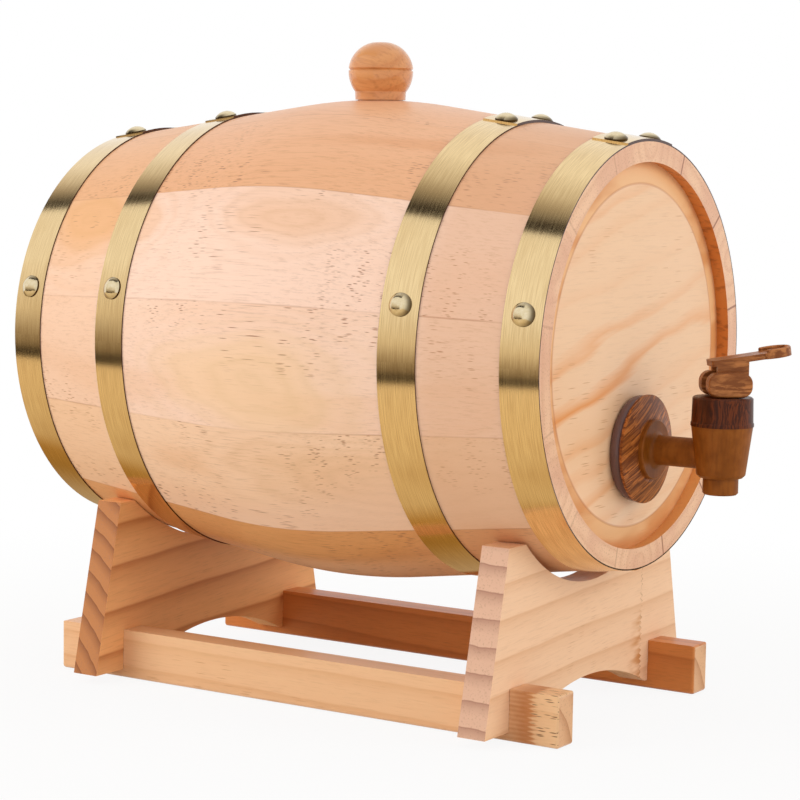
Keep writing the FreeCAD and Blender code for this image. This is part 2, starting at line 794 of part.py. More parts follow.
shank_bore = new_sketch(tap_body, "shank_bore", "XY_Plane")
outline(shank_bore, [
    (0, 0),
    (dim.shank_bore_radius, 0),
    (dim.shank_bore_radius, shank_tip + dim.cut_margin),
    (0, shank_tip + dim.cut_margin),
])
revolve(shank_bore, "V_Axis", cut=True)
chamber = new_sketch(tap_body, "chamber_profile", "XZ_Plane")
seat_underside = dim.seat_depth + dim.seat_lip_height * 3
outline(chamber, [
    (0, -dim.spout_depth - dim.cut_margin),
    (dim.spout_bore_radius, -dim.spout_depth - dim.cut_margin),
    (dim.spout_bore_radius, -seat_underside),
    (dim.seat_radius, -dim.seat_depth),
    (dim.seat_radius, -dim.seat_depth + dim.seat_lip_height),
    (dim.seat_lip_radius, -dim.seat_depth + dim.seat_lip_height),
    (dim.seat_lip_radius, -dim.seat_depth),
    (dim.chamber_radius, -dim.seat_depth),
    (dim.chamber_radius, dim.mouth_floor),
    (dim.mouth_radius, dim.mouth_floor),
    (dim.mouth_radius, dim.seam_height + dim.cut_margin),
    (0, dim.seam_height + dim.cut_margin),
])
revolve(chamber, "V_Axis", cut=True)
place(tap_body, 0, tap_y, tap_z)

# ---------------------------------------------------------------- tap: collar and seat cup
collar_top = dim.seam_height + dim.collar_height
skirt_end = dim.mouth_floor + dim.cup_flange_thickness
ledge_top = dim.seam_height + dim.collar_ledge_height
stem_hole_radius = dim.stem_radius + dim.stem_clearance
collar = turned_piece("tap_collar", "XZ_Plane", "V_Axis", [
    (dim.collar_bore_radius, skirt_end),
    (dim.collar_skirt_radius, skirt_end),
    (dim.collar_skirt_radius, dim.seam_height),
    (dim.collar_ledge_radius, dim.seam_height),
    (dim.collar_ledge_radius, ledge_top),
    (dim.body_top_radius, ledge_top + dim.collar_edge),
    (dim.collar_top_radius, collar_top - dim.collar_edge),
    (dim.collar_top_radius - dim.collar_edge, collar_top),
    (stem_hole_radius, collar_top),
    (stem_hole_radius, collar_top - dim.collar_roof),
    (dim.collar_bore_radius, collar_top - dim.collar_roof),
])
place(collar, 0, tap_y, tap_z)

plug_low = -dim.seat_depth + dim.seat_lip_height
plug_high = plug_low + dim.cup_plug_height
button_room = dim.stem_button_radius + dim.stem_clearance
socket_low = plug_low + dim.cup_floor
button_low = socket_low + dim.stem_clearance
button_high = button_low + dim.stem_button_height
socket_high = button_high + dim.stem_clearance
throat_high = socket_high + dim.cup_throat_length
throat_radius = dim.stem_neck_radius + dim.stem_clearance
bell_radius = dim.chamber_radius - dim.cup_bell_clearance
seat_cup = turned_piece("tap_seat_cup", "XZ_Plane", "V_Axis", [
    (0, plug_low),
    (dim.cup_plug_radius, plug_low),
    (dim.cup_plug_radius, plug_low + dim.cup_plug_edge),
    (dim.cup_waist_radius, plug_high - dim.cup_plug_neck),
    (dim.cup_waist_radius, throat_high),
    (bell_radius, dim.mouth_floor - dim.cup_wall),
    (bell_radius, dim.mouth_floor),
    (dim.collar_skirt_radius, dim.mouth_floor),
    (dim.collar_skirt_radius, skirt_end),
    (bell_radius - dim.cup_wall, skirt_end),
    (bell_radius - dim.cup_wall, dim.mouth_floor),
    (dim.stem_radius + dim.cup_stem_clearance, throat_high + dim.cup_throat_flare),
    (throat_radius, throat_high),
    (throat_radius, socket_high),
    (button_room, socket_high),
    (button_room, socket_low),
    (0, socket_low),
])
place(seat_cup, 0, tap_y, tap_z)

# ---------------------------------------------------------------- tap: stem
peg_height = collar_top + dim.lobe_clearance + dim.lobe_height / 2
shoulder_low = throat_high + dim.stem_neck_length
stem = turned_piece("tap_stem", "XZ_Plane", "V_Axis", [
    (0, button_low - peg_height),
    (dim.stem_button_radius, button_low - peg_height),
    (dim.stem_button_radius, button_high - peg_height),
    (dim.stem_neck_radius, button_high - peg_height),
    (dim.stem_neck_radius, shoulder_low - peg_height),
    (dim.stem_radius, shoulder_low + dim.stem_shoulder - peg_height),
    (dim.stem_radius, 0),
    (0, 0),
])
stem_head = new_sketch(stem, "stem_head_outline", "YZ_Plane")
head_low = -dim.lobe_height / 2 + dim.lobe_clearance
outline(stem_head, [
    (-dim.stem_head_half_length, head_low),
    (dim.stem_head_half_length, head_low),
    (dim.stem_head_half_length, dim.stem_head_top - dim.stem_head_half_length),
    (-dim.stem_head_half_length, dim.stem_head_top - dim.stem_head_half_length),
], {2: (dim.stem_crown_radius, 1)})
extrude(stem_head, dim.stem_head_half_width * 2)
pegs = new_sketch(stem, "peg_outline", "YZ_Plane")
disc_outline(pegs, 0, 0, dim.peg_radius)
extrude(pegs, dim.peg_reach * 2)
place(stem, 0, tap_y, tap_z + peg_height, Z_AXIS, dim.lever_turn)

# ---------------------------------------------------------------- tap: lever
lever = new_body("tap_lever")
lobe_low = -dim.lobe_height / 2
lobe_high = dim.lobe_height / 2
lobe_front = -dim.lobe_length / 2 - dim.lobe_lead
lobe_rear = dim.lobe_length / 2 - dim.lobe_lead
bend = dim.lobe_rounding
lobes = new_sketch(lever, "lobe_outline", "YZ_Plane")
outline(lobes, [
    (lobe_front + bend, lobe_low),
    (lobe_rear - bend, lobe_low),
    (lobe_rear, lobe_low + bend),
    (lobe_rear, lobe_high - bend),
    (lobe_rear - bend, lobe_high),
    (lobe_front + bend, lobe_high),
    (lobe_front, lobe_high - bend),
    (lobe_front, lobe_low + bend),
], {1: (bend, 1), 3: (bend, 1), 5: (bend, 1), 7: (bend, 1)})
extrude(lobes, dim.lobe_reach * 2)


def on_outer_face(edge):
    return all(abs(abs(vertex.X) - dim.lobe_reach.value) < 0.01 for vertex in edge.Vertexes)


round_edges(lever, dim.lobe_softening, on_outer_face)
tilt_slope = tangent(dim.plate_tilt)


def under_plate(forward):
    """Height of the plate's underside at a distance forward of the pegs."""
    return dim.plate_height + forward * tilt_slope


web = new_sketch(lever, "web_outline", "YZ_Plane")
outline(web, [
    (-dim.web_front, 0),
    (dim.web_rear, 0),
    (dim.web_rear, under_plate(-dim.web_rear) + dim.web_overlap),
    (-dim.web_front, under_plate(dim.web_front) + dim.web_overlap),
])
extrude(web, dim.web_half_width * 2)

plate = new_sketch(lever, "plate_outline", "XY_Plane")
plate.AttachmentOffset = FreeCAD.Placement(
    Vector(0, 0, dim.plate_height.value), Rotation(-X_AXIS, dim.plate_tilt.value))
bind(plate, "AttachmentOffset.Base.z", dim.plate_height)
bind(plate, "AttachmentOffset.Rotation.Angle", dim.plate_tilt)
blend_back = root(dim.dish_radius * dim.dish_radius - dim.plate_half_width * dim.plate_half_width)
plate_front = -dim.dish_reach + blend_back
corner = dim.plate_rounding
dish_tip = -dim.dish_reach - dim.dish_radius
outline(plate, [
    (-dim.plate_half_width, plate_front),
    (-dim.dish_radius, -dim.dish_reach),
    (0, dish_tip),
    (dim.dish_radius, -dim.dish_reach),
    (dim.plate_half_width, plate_front),
    (dim.plate_half_width, dim.plate_rear - corner),
    (dim.plate_half_width - corner, dim.plate_rear),
    (-dim.plate_half_width + corner, dim.plate_rear),
    (-dim.plate_half_width, dim.plate_rear - corner),
], {
    0: (dim.dish_radius, 1), 1: (dim.dish_radius, 1), 2: (dim.dish_radius, 1),
    3: (dim.dish_radius, 1), 5: (corner, 1), 7: (corner, 1),
})
extrude(plate, dim.plate_thickness, both_ways=False)

slot = new_sketch(lever, "slot_outline", "YZ_Plane")
slot_front = dim.cut_margin - lobe_front
slot_rear = lobe_rear + dim.cut_margin
outline(slot, [
    (-slot_front, lobe_low - dim.cut_margin),
    (slot_rear, lobe_low - dim.cut_margin),
    (slot_rear, under_plate(-slot_rear)),
    (-slot_front, under_plate(slot_front)),
])
extrude(slot, dim.slot_half_width * 2, cut=True)
sockets = new_sketch(lever, "socket_outline", "YZ_Plane")
disc_outline(sockets, 0, 0, dim.peg_radius + dim.peg_clearance)
extrude(sockets, (dim.peg_reach + dim.peg_end_clearance) * 2, cut=True)

rim = new_sketch(lever, "dish_rim_profile", "YZ_Plane")
floor = new_sketch(lever, "dish_floor_profile", "YZ_Plane")
dish_x = -dim.dish_reach * cosine(dim.plate_tilt)
dish_y = dim.plate_height + dim.dish_reach * sine(dim.plate_tilt)
for profile in (rim, floor):
    profile.AttachmentOffset = FreeCAD.Placement(
        Vector(dish_x.value, dish_y.value, 0), Rotation(-Z_AXIS, dim.plate_tilt.value))
    bind(profile, "AttachmentOffset.Base.x", dish_x)
    bind(profile, "AttachmentOffset.Base.y", dish_y)
    bind(profile, "AttachmentOffset.Rotation.Angle", dim.plate_tilt)
dish_inner = dim.dish_radius - dim.dish_wall
rim_top = dim.plate_thickness + dim.dish_rim_height
outline(rim, [
    (-dish_inner, dim.plate_thickness / 2),
    (-dim.dish_radius, dim.plate_thickness / 2),
    (-dim.dish_radius, rim_top - dim.dish_wall / 3),
    (-dim.dish_radius + dim.dish_wall / 3, rim_top),
    (-dish_inner - dim.dish_wall / 3, rim_top),
    (-dish_inner, rim_top - dim.dish_wall / 3),
])
revolve(rim, "V_Axis", dim.dish_rim_sweep)
outline(floor, [
    (0, dim.plate_thickness - dim.dish_floor_depth),
    (-dish_inner, dim.plate_thickness),
    (-dish_inner, dim.plate_thickness + dim.cut_margin),
    (0, dim.plate_thickness + dim.cut_margin),
])
revolve(floor, "V_Axis", cut=True)
place(lever, 0, tap_y, tap_z + peg_height, Z_AXIS, dim.lever_turn)

# ---------------------------------------------------------------- check and write
doc.recompute()
for item in doc.Objects:
    if "Invalid" in item.State or "Error" in item.State:
        raise RuntimeError(f"{item.Label} did not build: {item.State}")
    cuts = ("PartDesign::Groove", "PartDesign::Pocket", "PartDesign::SubtractiveCylinder")
    if item.TypeId in cuts and item.BaseFeature.Shape.Volume - item.Shape.Volume < 0.1:
        raise RuntimeError(f"{item.Label} cuts nothing")
for item in parts:
    if item.Shape.isNull() or not item.Shape.isValid() or not item.Shape.Solids:
        raise RuntimeError(f"{item.Label} has no sound solid")
os.makedirs("parts", exist_ok=True)
for item in parts:
    item.Shape.exportStep(f"parts/{item.Label}.step")
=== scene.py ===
import math

import bpy
from mathutils import Matrix, Vector


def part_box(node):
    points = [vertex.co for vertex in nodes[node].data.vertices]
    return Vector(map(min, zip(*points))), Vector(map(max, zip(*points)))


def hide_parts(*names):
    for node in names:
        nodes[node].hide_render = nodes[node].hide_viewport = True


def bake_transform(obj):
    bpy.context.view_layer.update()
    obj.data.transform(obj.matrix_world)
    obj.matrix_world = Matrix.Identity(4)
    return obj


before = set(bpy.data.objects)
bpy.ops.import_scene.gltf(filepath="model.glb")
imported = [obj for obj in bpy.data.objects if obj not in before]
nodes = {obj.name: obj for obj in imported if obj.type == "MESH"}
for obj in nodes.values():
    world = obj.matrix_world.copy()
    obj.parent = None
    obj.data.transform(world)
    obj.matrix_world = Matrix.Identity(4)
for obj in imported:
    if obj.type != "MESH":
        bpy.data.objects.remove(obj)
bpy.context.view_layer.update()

# A pine cask on its cradle, with brushed hoops and a brown moulded tap, in a white studio.
# Metres, +Z up, the tap points to -Y.
# The scale of a noise is in features a metre.  A stretch is the share of it kept along the grain.

X, Y, Z = range(3)
OPAQUE = 1.0


# ---------------------------------------------------------------- places read from the frame
def centre(name, axis):
    """Middle of a node's box at rest, along one axis."""
    low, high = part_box(name)
    return (low[axis] + high[axis]) / 2


stave_low, stave_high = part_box("bung_stave")
front_end = stave_low.y
rear_end = stave_high.y
mid_length = (front_end + rear_end) / 2
axis_height = centre("front_head", Z)
tap_y = centre("tap_collar", Y)
tap_z = centre("tap_escutcheon", Z)
PLAIN_STAVES = 11
BUNG_STAVE_SPAN = math.radians(42)
PLAIN_SPAN = (2 * math.pi - BUNG_STAVE_SPAN) / PLAIN_STAVES


# ---------------------------------------------------------------- node helpers
def linear(red, green, blue):
    """Scene colour of an sRGB colour given as 0 to 255.  The numbers are the sRGB standard's."""
    def channel(value):
        value /= 255
        return value / 12.92 if value <= 0.04045 else ((value + 0.055) / 1.055) ** 2.4
    return (channel(red), channel(green), channel(blue), OPAQUE)


def dimmed(colour, share):
    """A colour with that share of its light left."""
    return tuple(channel * share for channel in colour[:3]) + (OPAQUE,)


# Sockets of a Mix node that mixes colours.
MIX_FACTOR = 0
MIX_FIRST = 6
MIX_SECOND = 7
MIX_RESULT = 2


class Graph:
    """A node tree, with short calls for the nodes that the materials and the world share."""

    def __init__(self, holder, output_kind):
        holder.use_nodes = True
        self.tree = holder.node_tree
        self.tree.nodes.clear()
        self.output = self.tree.nodes.new(output_kind)

    def feed(self, socket, value):
        """Links a socket to another one, or sets it to a plain value."""
        if isinstance(value, bpy.types.NodeSocket):
            self.tree.links.new(value, socket)
        else:
            socket.default_value = value

    def node(self, kind, inputs=None, **settings):
        made = self.tree.nodes.new(kind)
        for name, value in settings.items():
            setattr(made, name, value)
        for name, value in (inputs or {}).items():
            self.feed(made.inputs[name], value)
        return made

    def show(self, shader):
        """Sends a shader node to the tree's output."""
        self.tree.links.new(shader.outputs[0], self.output.inputs["Surface"])

    def math(self, operation, first, second=None):
        inputs = {0: first} if second is None else {0: first, 1: second}
        return self.node("ShaderNodeMath", inputs, operation=operation).outputs[0]

    def vector(self, operation, first, second):
        made = self.node("ShaderNodeVectorMath", {0: first, 1: second}, operation=operation)
        return made.outputs[0]

    def split(self, vector):
        return self.node("ShaderNodeSeparateXYZ", {0: vector}).outputs

    def join(self, x, y, z):
        return self.node("ShaderNodeCombineXYZ", {0: x, 1: y, 2: z}).outputs[0]

    def length(self, x, y):
        squares = self.math("ADD", self.math("POWER", x, 2), self.math("POWER", y, 2))
        return self.math("POWER", squares, 0.5)

    def centred(self, value, amount):
        """A value from 0 to 1 made to swing round 0, by half the amount each way."""
        return self.math("MULTIPLY", self.math("SUBTRACT", value, 0.5), amount)

    def noise(self, vector, scale, detail=2.0, roughness=0.5, distortion=0.0):
        inputs = {"Vector": vector, "Scale": scale, "Detail": detail, "Roughness": roughness,
                  "Distortion": distortion}
        return self.node("ShaderNodeTexNoise", inputs).outputs["Fac"]

    def cells(self, vector, scale):
        return self.node("ShaderNodeTexVoronoi", {"Vector": vector, "Scale": scale})

    def fit(self, value, low, high, to_low=0.0, to_high=1.0):
        """A smooth step: to_low where the value is at low, to_high where it is at high."""
        inputs = {"Value": value, "From Min": low, "From Max": high, "To Min": to_low,
                  "To Max": to_high}
        return self.node("ShaderNodeMapRange", inputs, interpolation_type="SMOOTHSTEP").outputs[0]

    def ramp(self, value, stops):
        """A colour or a grey for each place from 0 to 1."""
        made = self.node("ShaderNodeValToRGB", {"Fac": value})
        elements = made.color_ramp.elements
        while len(elements) < len(stops):
            elements.new(0.5)
        for element, (position, colour) in zip(elements, stops):
            element.position = position
            element.color = colour if isinstance(colour, tuple) else (colour, colour, colour, OPAQUE)
        return made.outputs["Color"]

    def ring(self, distance, spacing, profile):
        """Rings that repeat after each spacing, shaded by profile from one to the next."""
        return self.ramp(self.math("FRACT", self.math("DIVIDE", distance, spacing)), profile)

    def mix(self, factor, first, second):
        inputs = {MIX_FACTOR: factor, MIX_FIRST: first, MIX_SECOND: second}
        return self.node("ShaderNodeMix", inputs, data_type="RGBA").outputs[MIX_RESULT]

    def bump(self, height, distance):
        return self.node("ShaderNodeBump", {"Height": height, "Distance": distance}).outputs[0]


class Material(Graph):
    """One material's node tree, with the object's own coordinates at hand."""

    def __init__(self, name):
        self.material = bpy.data.materials.new(name)
        super().__init__(self.material, "ShaderNodeOutputMaterial")
        coords = self.tree.nodes.new("ShaderNodeTexCoord").outputs
        self.here = coords["Object"]
        self.normal = coords["Normal"]
        self.uv = coords["UV"]

    def local(self, place, turn=(0, 0, 0)):
        """Object coordinates seen from a frame at place, turned by turn."""
        inputs = {"Vector": self.here, "Location": place, "Rotation": turn}
        return self.node("ShaderNodeMapping", inputs, vector_type="TEXTURE").outputs[0]

    def facing(self, axis, low, high):
        """1 on a face that looks along an axis, either way, and 0 on one that looks aside."""
        return self.fit(self.math("ABSOLUTE", self.split(self.normal)[axis]), low, high)

    def finish(self, inputs):
        self.show(self.node("ShaderNodeBsdfPrincipled", inputs))
        return self.material


def set_material(name, material):
    slots = nodes[name].data.materials
    slots.clear()
    slots.append(material)


# ---------------------------------------------------------------- wood
GRAIN_TURN = {"X": (0, 0, 0), "Y": (0, 0, math.pi / 2)}
# How deep the tone is from one growth ring to the next, for each way that the wood is cut.
SAWN_RING = [(0.0, 0.12), (0.07, 0.0), (0.50, 0.12), (0.80, 0.5), (0.95, 1.0), (1.0, 0.12)]
FIGURE_RING = [(0.0, 0.25), (0.12, 0.0), (0.45, 0.15), (0.90, 1.0), (1.0, 0.25)]
HEART_RING = [(0.0, 0.8), (0.25, 0.2), (0.6, 0.0), (0.85, 0.5), (1.0, 0.8)]
STAVE_END_RING = [(0.0, 0.3), (0.1, 0.0), (0.5, 0.1), (0.88, 1.0), (1.0, 0.3)]
BOARD_END_RING = [(0.0, 0.0), (0.45, 0.05), (0.75, 0.40), (0.93, 0.70), (0.965, 1.0), (1.0, 0.0)]
BUNG_RING = [(0.0, 0.2), (0.4, 0.0), (0.85, 1.0), (1.0, 0.2)]


class Pine(Material):
    """Sawn and varnished pine.  Local X runs along the grain, from a place on the pith."""

    def __init__(self, name, grain, pith, tilt=(0, 0, 0)):
        super().__init__(name)
        turn = [a + b for a, b in zip(GRAIN_TURN[grain], tilt)]
        self.along = self.local(pith, turn)
        self.fibre = self.noise(self.stretched(0.03), scale=1100, detail=3)
        self.relief = self.fibre
        self.colour = None

    def stretched(self, share):
        return self.vector("MULTIPLY", self.along, (share, 1, 1))

    def lay(self, ring, contrast, early, late, fine):
        """The first tones: rings between light and dark wood, with fine fibres and pores."""
        amount = self.math("ADD", self.math("MULTIPLY", ring, contrast),
                           self.centred(self.fibre, fine))
        self.colour = self.mix(self.math("MAXIMUM", amount, 0.0), early, late)
        pores = self.noise(self.stretched(0.06), scale=1500, detail=3, roughness=0.7)
        self.tint(self.fit(pores, 0.48, 0.72), fine * 0.8, dimmed(late, 0.62))

    def tint(self, mask, amount, colour):
        self.colour = self.mix(self.math("MULTIPLY", mask, amount), self.colour, colour)

    def rings(self, early, late, spacing, contrast, warp):
        """Growth rings round the pith: soft on the inner side, crisp on the outer one."""
        _, y, z = self.split(self.along)
        swirl = self.noise(self.stretched(0.22), scale=20)
        ripple = self.noise(self.stretched(0.15), scale=170)
        radius = self.math("ADD", self.length(y, z), self.centred(swirl, warp))
        radius = self.math("ADD", radius, self.centred(ripple, amount=spacing * 0.10))
        self.lay(self.ring(radius, spacing, SAWN_RING), contrast, early, late, fine=0.20)

    def figure(self, early, late, contrast, count):
        """Flat-sawn figure: long closed loops of slightly deeper tone."""
        field = self.noise(self.stretched(0.30), scale=20, detail=1.0, distortion=0.25)
        ripple = self.noise(self.stretched(0.10), scale=210)
        height = self.math("MULTIPLY", field, count)
        height = self.math("ADD", height, self.centred(ripple, amount=0.10))
        ring = self.ramp(self.math("FRACT", height), FIGURE_RING)
        self.lay(ring, contrast, early, late, fine=0.45)

    def patches(self, colour, amount, size=9, stretch=0.3, low=0.48, high=0.66):
        """Large soft areas of another tone."""
        field = self.noise(self.stretched(stretch), size, detail=1.0, distortion=0.4)
        self.tint(self.fit(field, low, high), amount, colour)

    def heart(self, middle_y, middle_z, half_y, half_z, colour, amount):
        """Place where the saw met the tree's inner wood: an oval with a few faint rings."""
        _, y, z = self.split(self.here)
        y = self.math("DIVIDE", self.math("SUBTRACT", y, middle_y), half_y)
        z = self.math("DIVIDE", self.math("SUBTRACT", z, middle_z), half_z)
        wander = self.noise(self.stretched(0.35), scale=46, detail=2)
        reach = self.math("ADD", self.length(y, z), self.centred(wander, amount=1.5))
        ring = self.ramp(self.math("FRACT", self.math("MULTIPLY", reach, 3.0)), HEART_RING)
        self.tint(self.fit(reach, 1.30, 0.30), amount, colour)
        self.tint(self.math("MULTIPLY", ring, self.fit(reach, 2.1, 0.7)), 0.34, dimmed(colour, 0.86))

    def dashes(self, colour, amount, size=1500, stretch=0.06, share=0.30, crowd_size=32,
               crowd=(0.45, 0.60), thickness=0.24, within=1.0):
        """Short resin dashes along the grain, in clusters, only where within is more than 0."""
        cells = self.cells(self.stretched(stretch), size)
        chosen = self.math("GREATER_THAN", self.split(cells.outputs["Color"])[0], 1 - share)
        crowded = self.noise(self.stretched(0.45), crowd_size, detail=1)
        where = self.math("MULTIPLY", self.fit(crowded, *crowd), within)
        mark = self.fit(cells.outputs["Distance"], thickness * 1.5, thickness * 0.5)
        mark = self.math("MULTIPLY", self.math("MULTIPLY", mark, chosen), where)
        self.tint(mark, amount, colour)
        self.relief = self.math("SUBTRACT", self.relief, self.math("MULTIPLY", mark, 0.8))

    def varnish(self):
        """Satin varnish, with the fibres and dashes felt through it."""
        return self.finish({"Base Color": self.colour, "Roughness": 0.42, "Specular IOR Level": 0.35,
                            "Normal": self.bump(self.relief, distance=0.00005),
                            "Coat Weight": 0.15, "Coat Roughness": 0.25})


# ---------------------------------------------------------------- staves
# Tones of a stave: light wood, dark wood, soft patches, and how strong its figure is.
# ORANGE's pale pink patches, on the staves at the top, are partly a painted sheen.
ORANGE = (linear(234, 176, 132), linear(218, 146, 92), linear(244, 192, 164), 0.45)
CREAM = (linear(250, 212, 188), linear(242, 192, 160), linear(246, 204, 172), 0.35)
PEACH = (linear(249, 210, 184), linear(238, 186, 148), linear(248, 212, 174), 0.40)
HONEY = (linear(242, 198, 158), linear(228, 170, 120), linear(246, 204, 162), 0.45)
AMBER = (linear(228, 164, 104), linear(206, 132, 70), linear(234, 172, 116), 0.50)
TAWNY = (linear(246, 204, 168), linear(234, 180, 134), linear(246, 206, 166), 0.45)
STAVE_TONES = [ORANGE, CREAM, PEACH, TAWNY, AMBER, AMBER, HONEY, PEACH, CREAM, HONEY, ORANGE]
# Ovals of other wood on a stave: middle along Y and up, half size in both, tone, strength.
STAVE_HEARTS = {
    2: [(0.014, 0.1780, 0.030, 0.010, linear(236, 184, 142), 0.60),
        (0.112, 0.1740, 0.034, 0.015, linear(234, 172, 112), 0.85)],
    3: [(0.018, 0.1210, 0.040, 0.018, linear(246, 202, 152), 0.60)],
    4: [(-0.030, 0.0880, 0.060, 0.012, linear(232, 180, 130), 0.50)],
    9: [(-0.020, 0.1300, 0.045, 0.016, linear(240, 184, 134), 0.60)],
    10: [(0.050, 0.1700, 0.040, 0.014, linear(238, 176, 124), 0.60)],
}
# Painted shade towards the front ends of the staves, and deeper tone towards the rear: where each
# begins and is full along Y, strength, tone.
STAVE_END_SHADE_AND_TONE = [(-0.036, -0.050, 0.50, linear(218, 164, 122)),
                (0.086, 0.098, 0.30, linear(236, 180, 126))]
# Pale pink patches over the staves, partly wood tone and partly a painted sheen.
STAVE_PINK_SHEEN = linear(252, 214, 194)
RESIN = linear(152, 92, 56)
SEAM = linear(170, 108, 70)
# Distances from a seam where its line begins and is full, on the outside and on the end grain.
HAIR_LINE = (0.00045, 0.00012)
END_LINE = (0.0006, 0.0002)
# Inner wall: brown that is partly painted shade under the chime, and a golden painted light low on it.
INNER_WALL_TONE_AND_SHADE = linear(220, 134, 62)
INNER_STREAK = linear(150, 78, 34)
INNER_PAINTED_LIGHT = linear(240, 178, 108)
# How far below the axis the painted light that turns the inner wall golden begins, and is full.
PAINTED_LIGHT_BEGINS = 0.015
PAINTED_LIGHT_FULL = 0.055
END_GRAIN = linear(240, 194, 156)
END_RING = linear(202, 142, 106)
END_BLUSH = linear(222, 168, 136)
END_PORE = linear(168, 116, 88)
END_SEAM = linear(136, 72, 48)
END_RING_SPACING = 0.0052
# Two places along X, and how dark a seam of the end grain is at each.
END_SEAM_ACROSS = (-0.030, 0.020, 0.22, 0.80)
# How far along the cask a face looks where it begins to be end grain and is all of it.
END_GRAIN_FACE = (0.80, 0.95)
# How far outward a face looks where it begins to be inner wall and is all of it.
INNER_FACE = (-0.3, -0.7)


def seam_distance(p, middle, span):
    """How far a point of a stave is from the nearer seam, along the circle."""
    x, _, z = p.split(p.local((0, mid_length, axis_height), (0, -middle, 0)))
    angle = p.math("SUBTRACT", span / 2, p.math("ABSOLUTE", p.math("ARCTAN2", z, x)))
    return p.math("MULTIPLY", angle, p.length(x, z))


def inner_wall(p, middle):
    """Brown streaked wall inside the cask: its brown partly painted shade, its lower half golden with
    painted light.
    """
    nx, _, nz = p.split(p.normal)
    outward = p.math("ADD", p.math("MULTIPLY", nx, math.cos(middle)),
                     p.math("MULTIPLY", nz, math.sin(middle)))
    streak = p.noise(p.vector("MULTIPLY", p.here, (1, 0.35, 1)), scale=520, detail=3)
    wall = p.mix(p.fit(streak, 0.48, 0.72, to_high=0.65), INNER_WALL_TONE_AND_SHADE, INNER_STREAK)
    # Painted light: the lower half of the wall turns golden.
    painted_light_share = p.fit(p.split(p.here)[Z], axis_height - PAINTED_LIGHT_BEGINS, axis_height - PAINTED_LIGHT_FULL)
    wall = p.mix(p.math("MULTIPLY", painted_light_share, 0.75), wall, INNER_PAINTED_LIGHT)
    p.colour = p.mix(p.fit(outward, *INNER_FACE), p.colour, wall)


def stave_end(p, outward, number, to_seam):
    """End grain: rings round a pith of the stave's own, and a seam that darkens towards +X."""
    pith = outward * (0.075 - 0.13 * (number % 2)) + Vector((0, 0, axis_height))
    x, _, z = p.split(p.local(tuple(pith), (0, 0.7 * number, 0)))
    distance = p.math("ADD", p.length(x, z), p.centred(p.noise(p.here, scale=60), amount=0.004))
    ring = p.ring(distance, END_RING_SPACING, STAVE_END_RING)
    pores = p.noise(p.here, scale=1500, detail=2)
    blush = p.noise(p.here, scale=34, detail=2)
    end = p.mix(p.math("MULTIPLY", ring, 0.34), END_GRAIN, END_RING)
    end = p.mix(p.fit(blush, 0.42, 0.62, to_high=0.7), end, END_BLUSH)
    end = p.mix(p.fit(pores, 0.52, 0.72, to_high=0.40), end, END_PORE)
    across = p.fit(p.split(p.here)[X], *END_SEAM_ACROSS)
    end = p.mix(p.math("MULTIPLY", p.fit(to_seam, *END_LINE), across), end, END_SEAM)
    p.colour = p.mix(p.facing(Y, *END_GRAIN_FACE), p.colour, end)


def stave_material(name, middle, span, tone, number):
    """Outside of a stave, its end grain, its inner wall and the hair line along its seams."""
    early, late, patch, contrast = tone
    outward = Vector((math.cos(middle), 0, math.sin(middle)))
    # Each stave is cut from its own place beside the pith, so no two have the same figure.
    pith = outward * (0.05 + 0.01 * (number % 3))
    pith += Vector((0, mid_length + 0.021 * ((number * 5) % 7) - 0.06, axis_height))
    lean = 0.03 if number % 2 else -0.03
    p = Pine(f"{name}_pine", "Y", tuple(pith), (0, 0, lean))
    p.figure(early, late, contrast, count=2.4 + 0.3 * (number % 3))
    p.patches(patch, amount=0.55)
    for heart in STAVE_HEARTS.get(number, []):
        p.heart(*heart)
    # Pale pink patches, partly a painted sheen.
    p.patches(STAVE_PINK_SHEEN, amount=0.35, size=13, low=0.50, high=0.72)
    p.dashes(RESIN, amount=0.95, size=1900, stretch=0.045, share=0.36, thickness=0.26)
    p.dashes(RESIN, amount=0.42, size=1300, stretch=0.022, share=0.18, thickness=0.17)
    y = p.split(p.here)[Y]
    # Painted shade near the front end of a stave, and a deeper tone near its rear end.
    for begins, full, strength, colour in STAVE_END_SHADE_AND_TONE:
        p.tint(p.fit(y, begins, full), strength, colour)
    to_seam = seam_distance(p, middle, span)
    rough = p.noise(p.vector("MULTIPLY", p.here, (1, 0.12, 1)), scale=160)
    line = p.math("MULTIPLY", p.fit(to_seam, *HAIR_LINE), p.fit(rough, 0.35, 0.75, 0.08, 0.45))
    p.tint(line, 1.0, SEAM)
    inner_wall(p, middle)
    stave_end(p, outward, number, to_seam)
    return p.varnish()


set_material("bung_stave", stave_material("bung_stave", math.pi / 2, BUNG_STAVE_SPAN, ORANGE, 0))
for number in range(PLAIN_STAVES):
    name = f"stave_{number + 1:02d}"
    middle = math.pi / 2 + BUNG_STAVE_SPAN / 2 + PLAIN_SPAN * (number + 0.5)
    set_material(name, stave_material(name, middle, PLAIN_SPAN, STAVE_TONES[number], number + 1))

# ---------------------------------------------------------------- heads
HEAD_FLAT_RADIUS = 0.0611
# Bands on a head: how far above its middle, in metres, and how strong.
HEAD_BANDS = [(-0.0560, 0.30), (-0.0470, 0.25), (-0.0370, 0.50), (-0.0265, 0.28), (-0.0160, 0.35),
              (-0.0020, 1.00), (0.0125, 0.50), (0.0300, 0.12), (0.0460, 0.16), (0.0560, 0.30)]
# The ramp of the bands spans this far below and above the middle.
HEAD_REACH = 0.07
# On that ramp, a band begins and is strongest before its place, and ends after it.
BAND_BEGINS = 0.018
BAND_CREST = 0.004
BAND_ENDS = 0.028
# Two places along X, and how much of the bands shows at each.
BANDS_ACROSS = (0.035, -0.030, 0.45, 1.0)
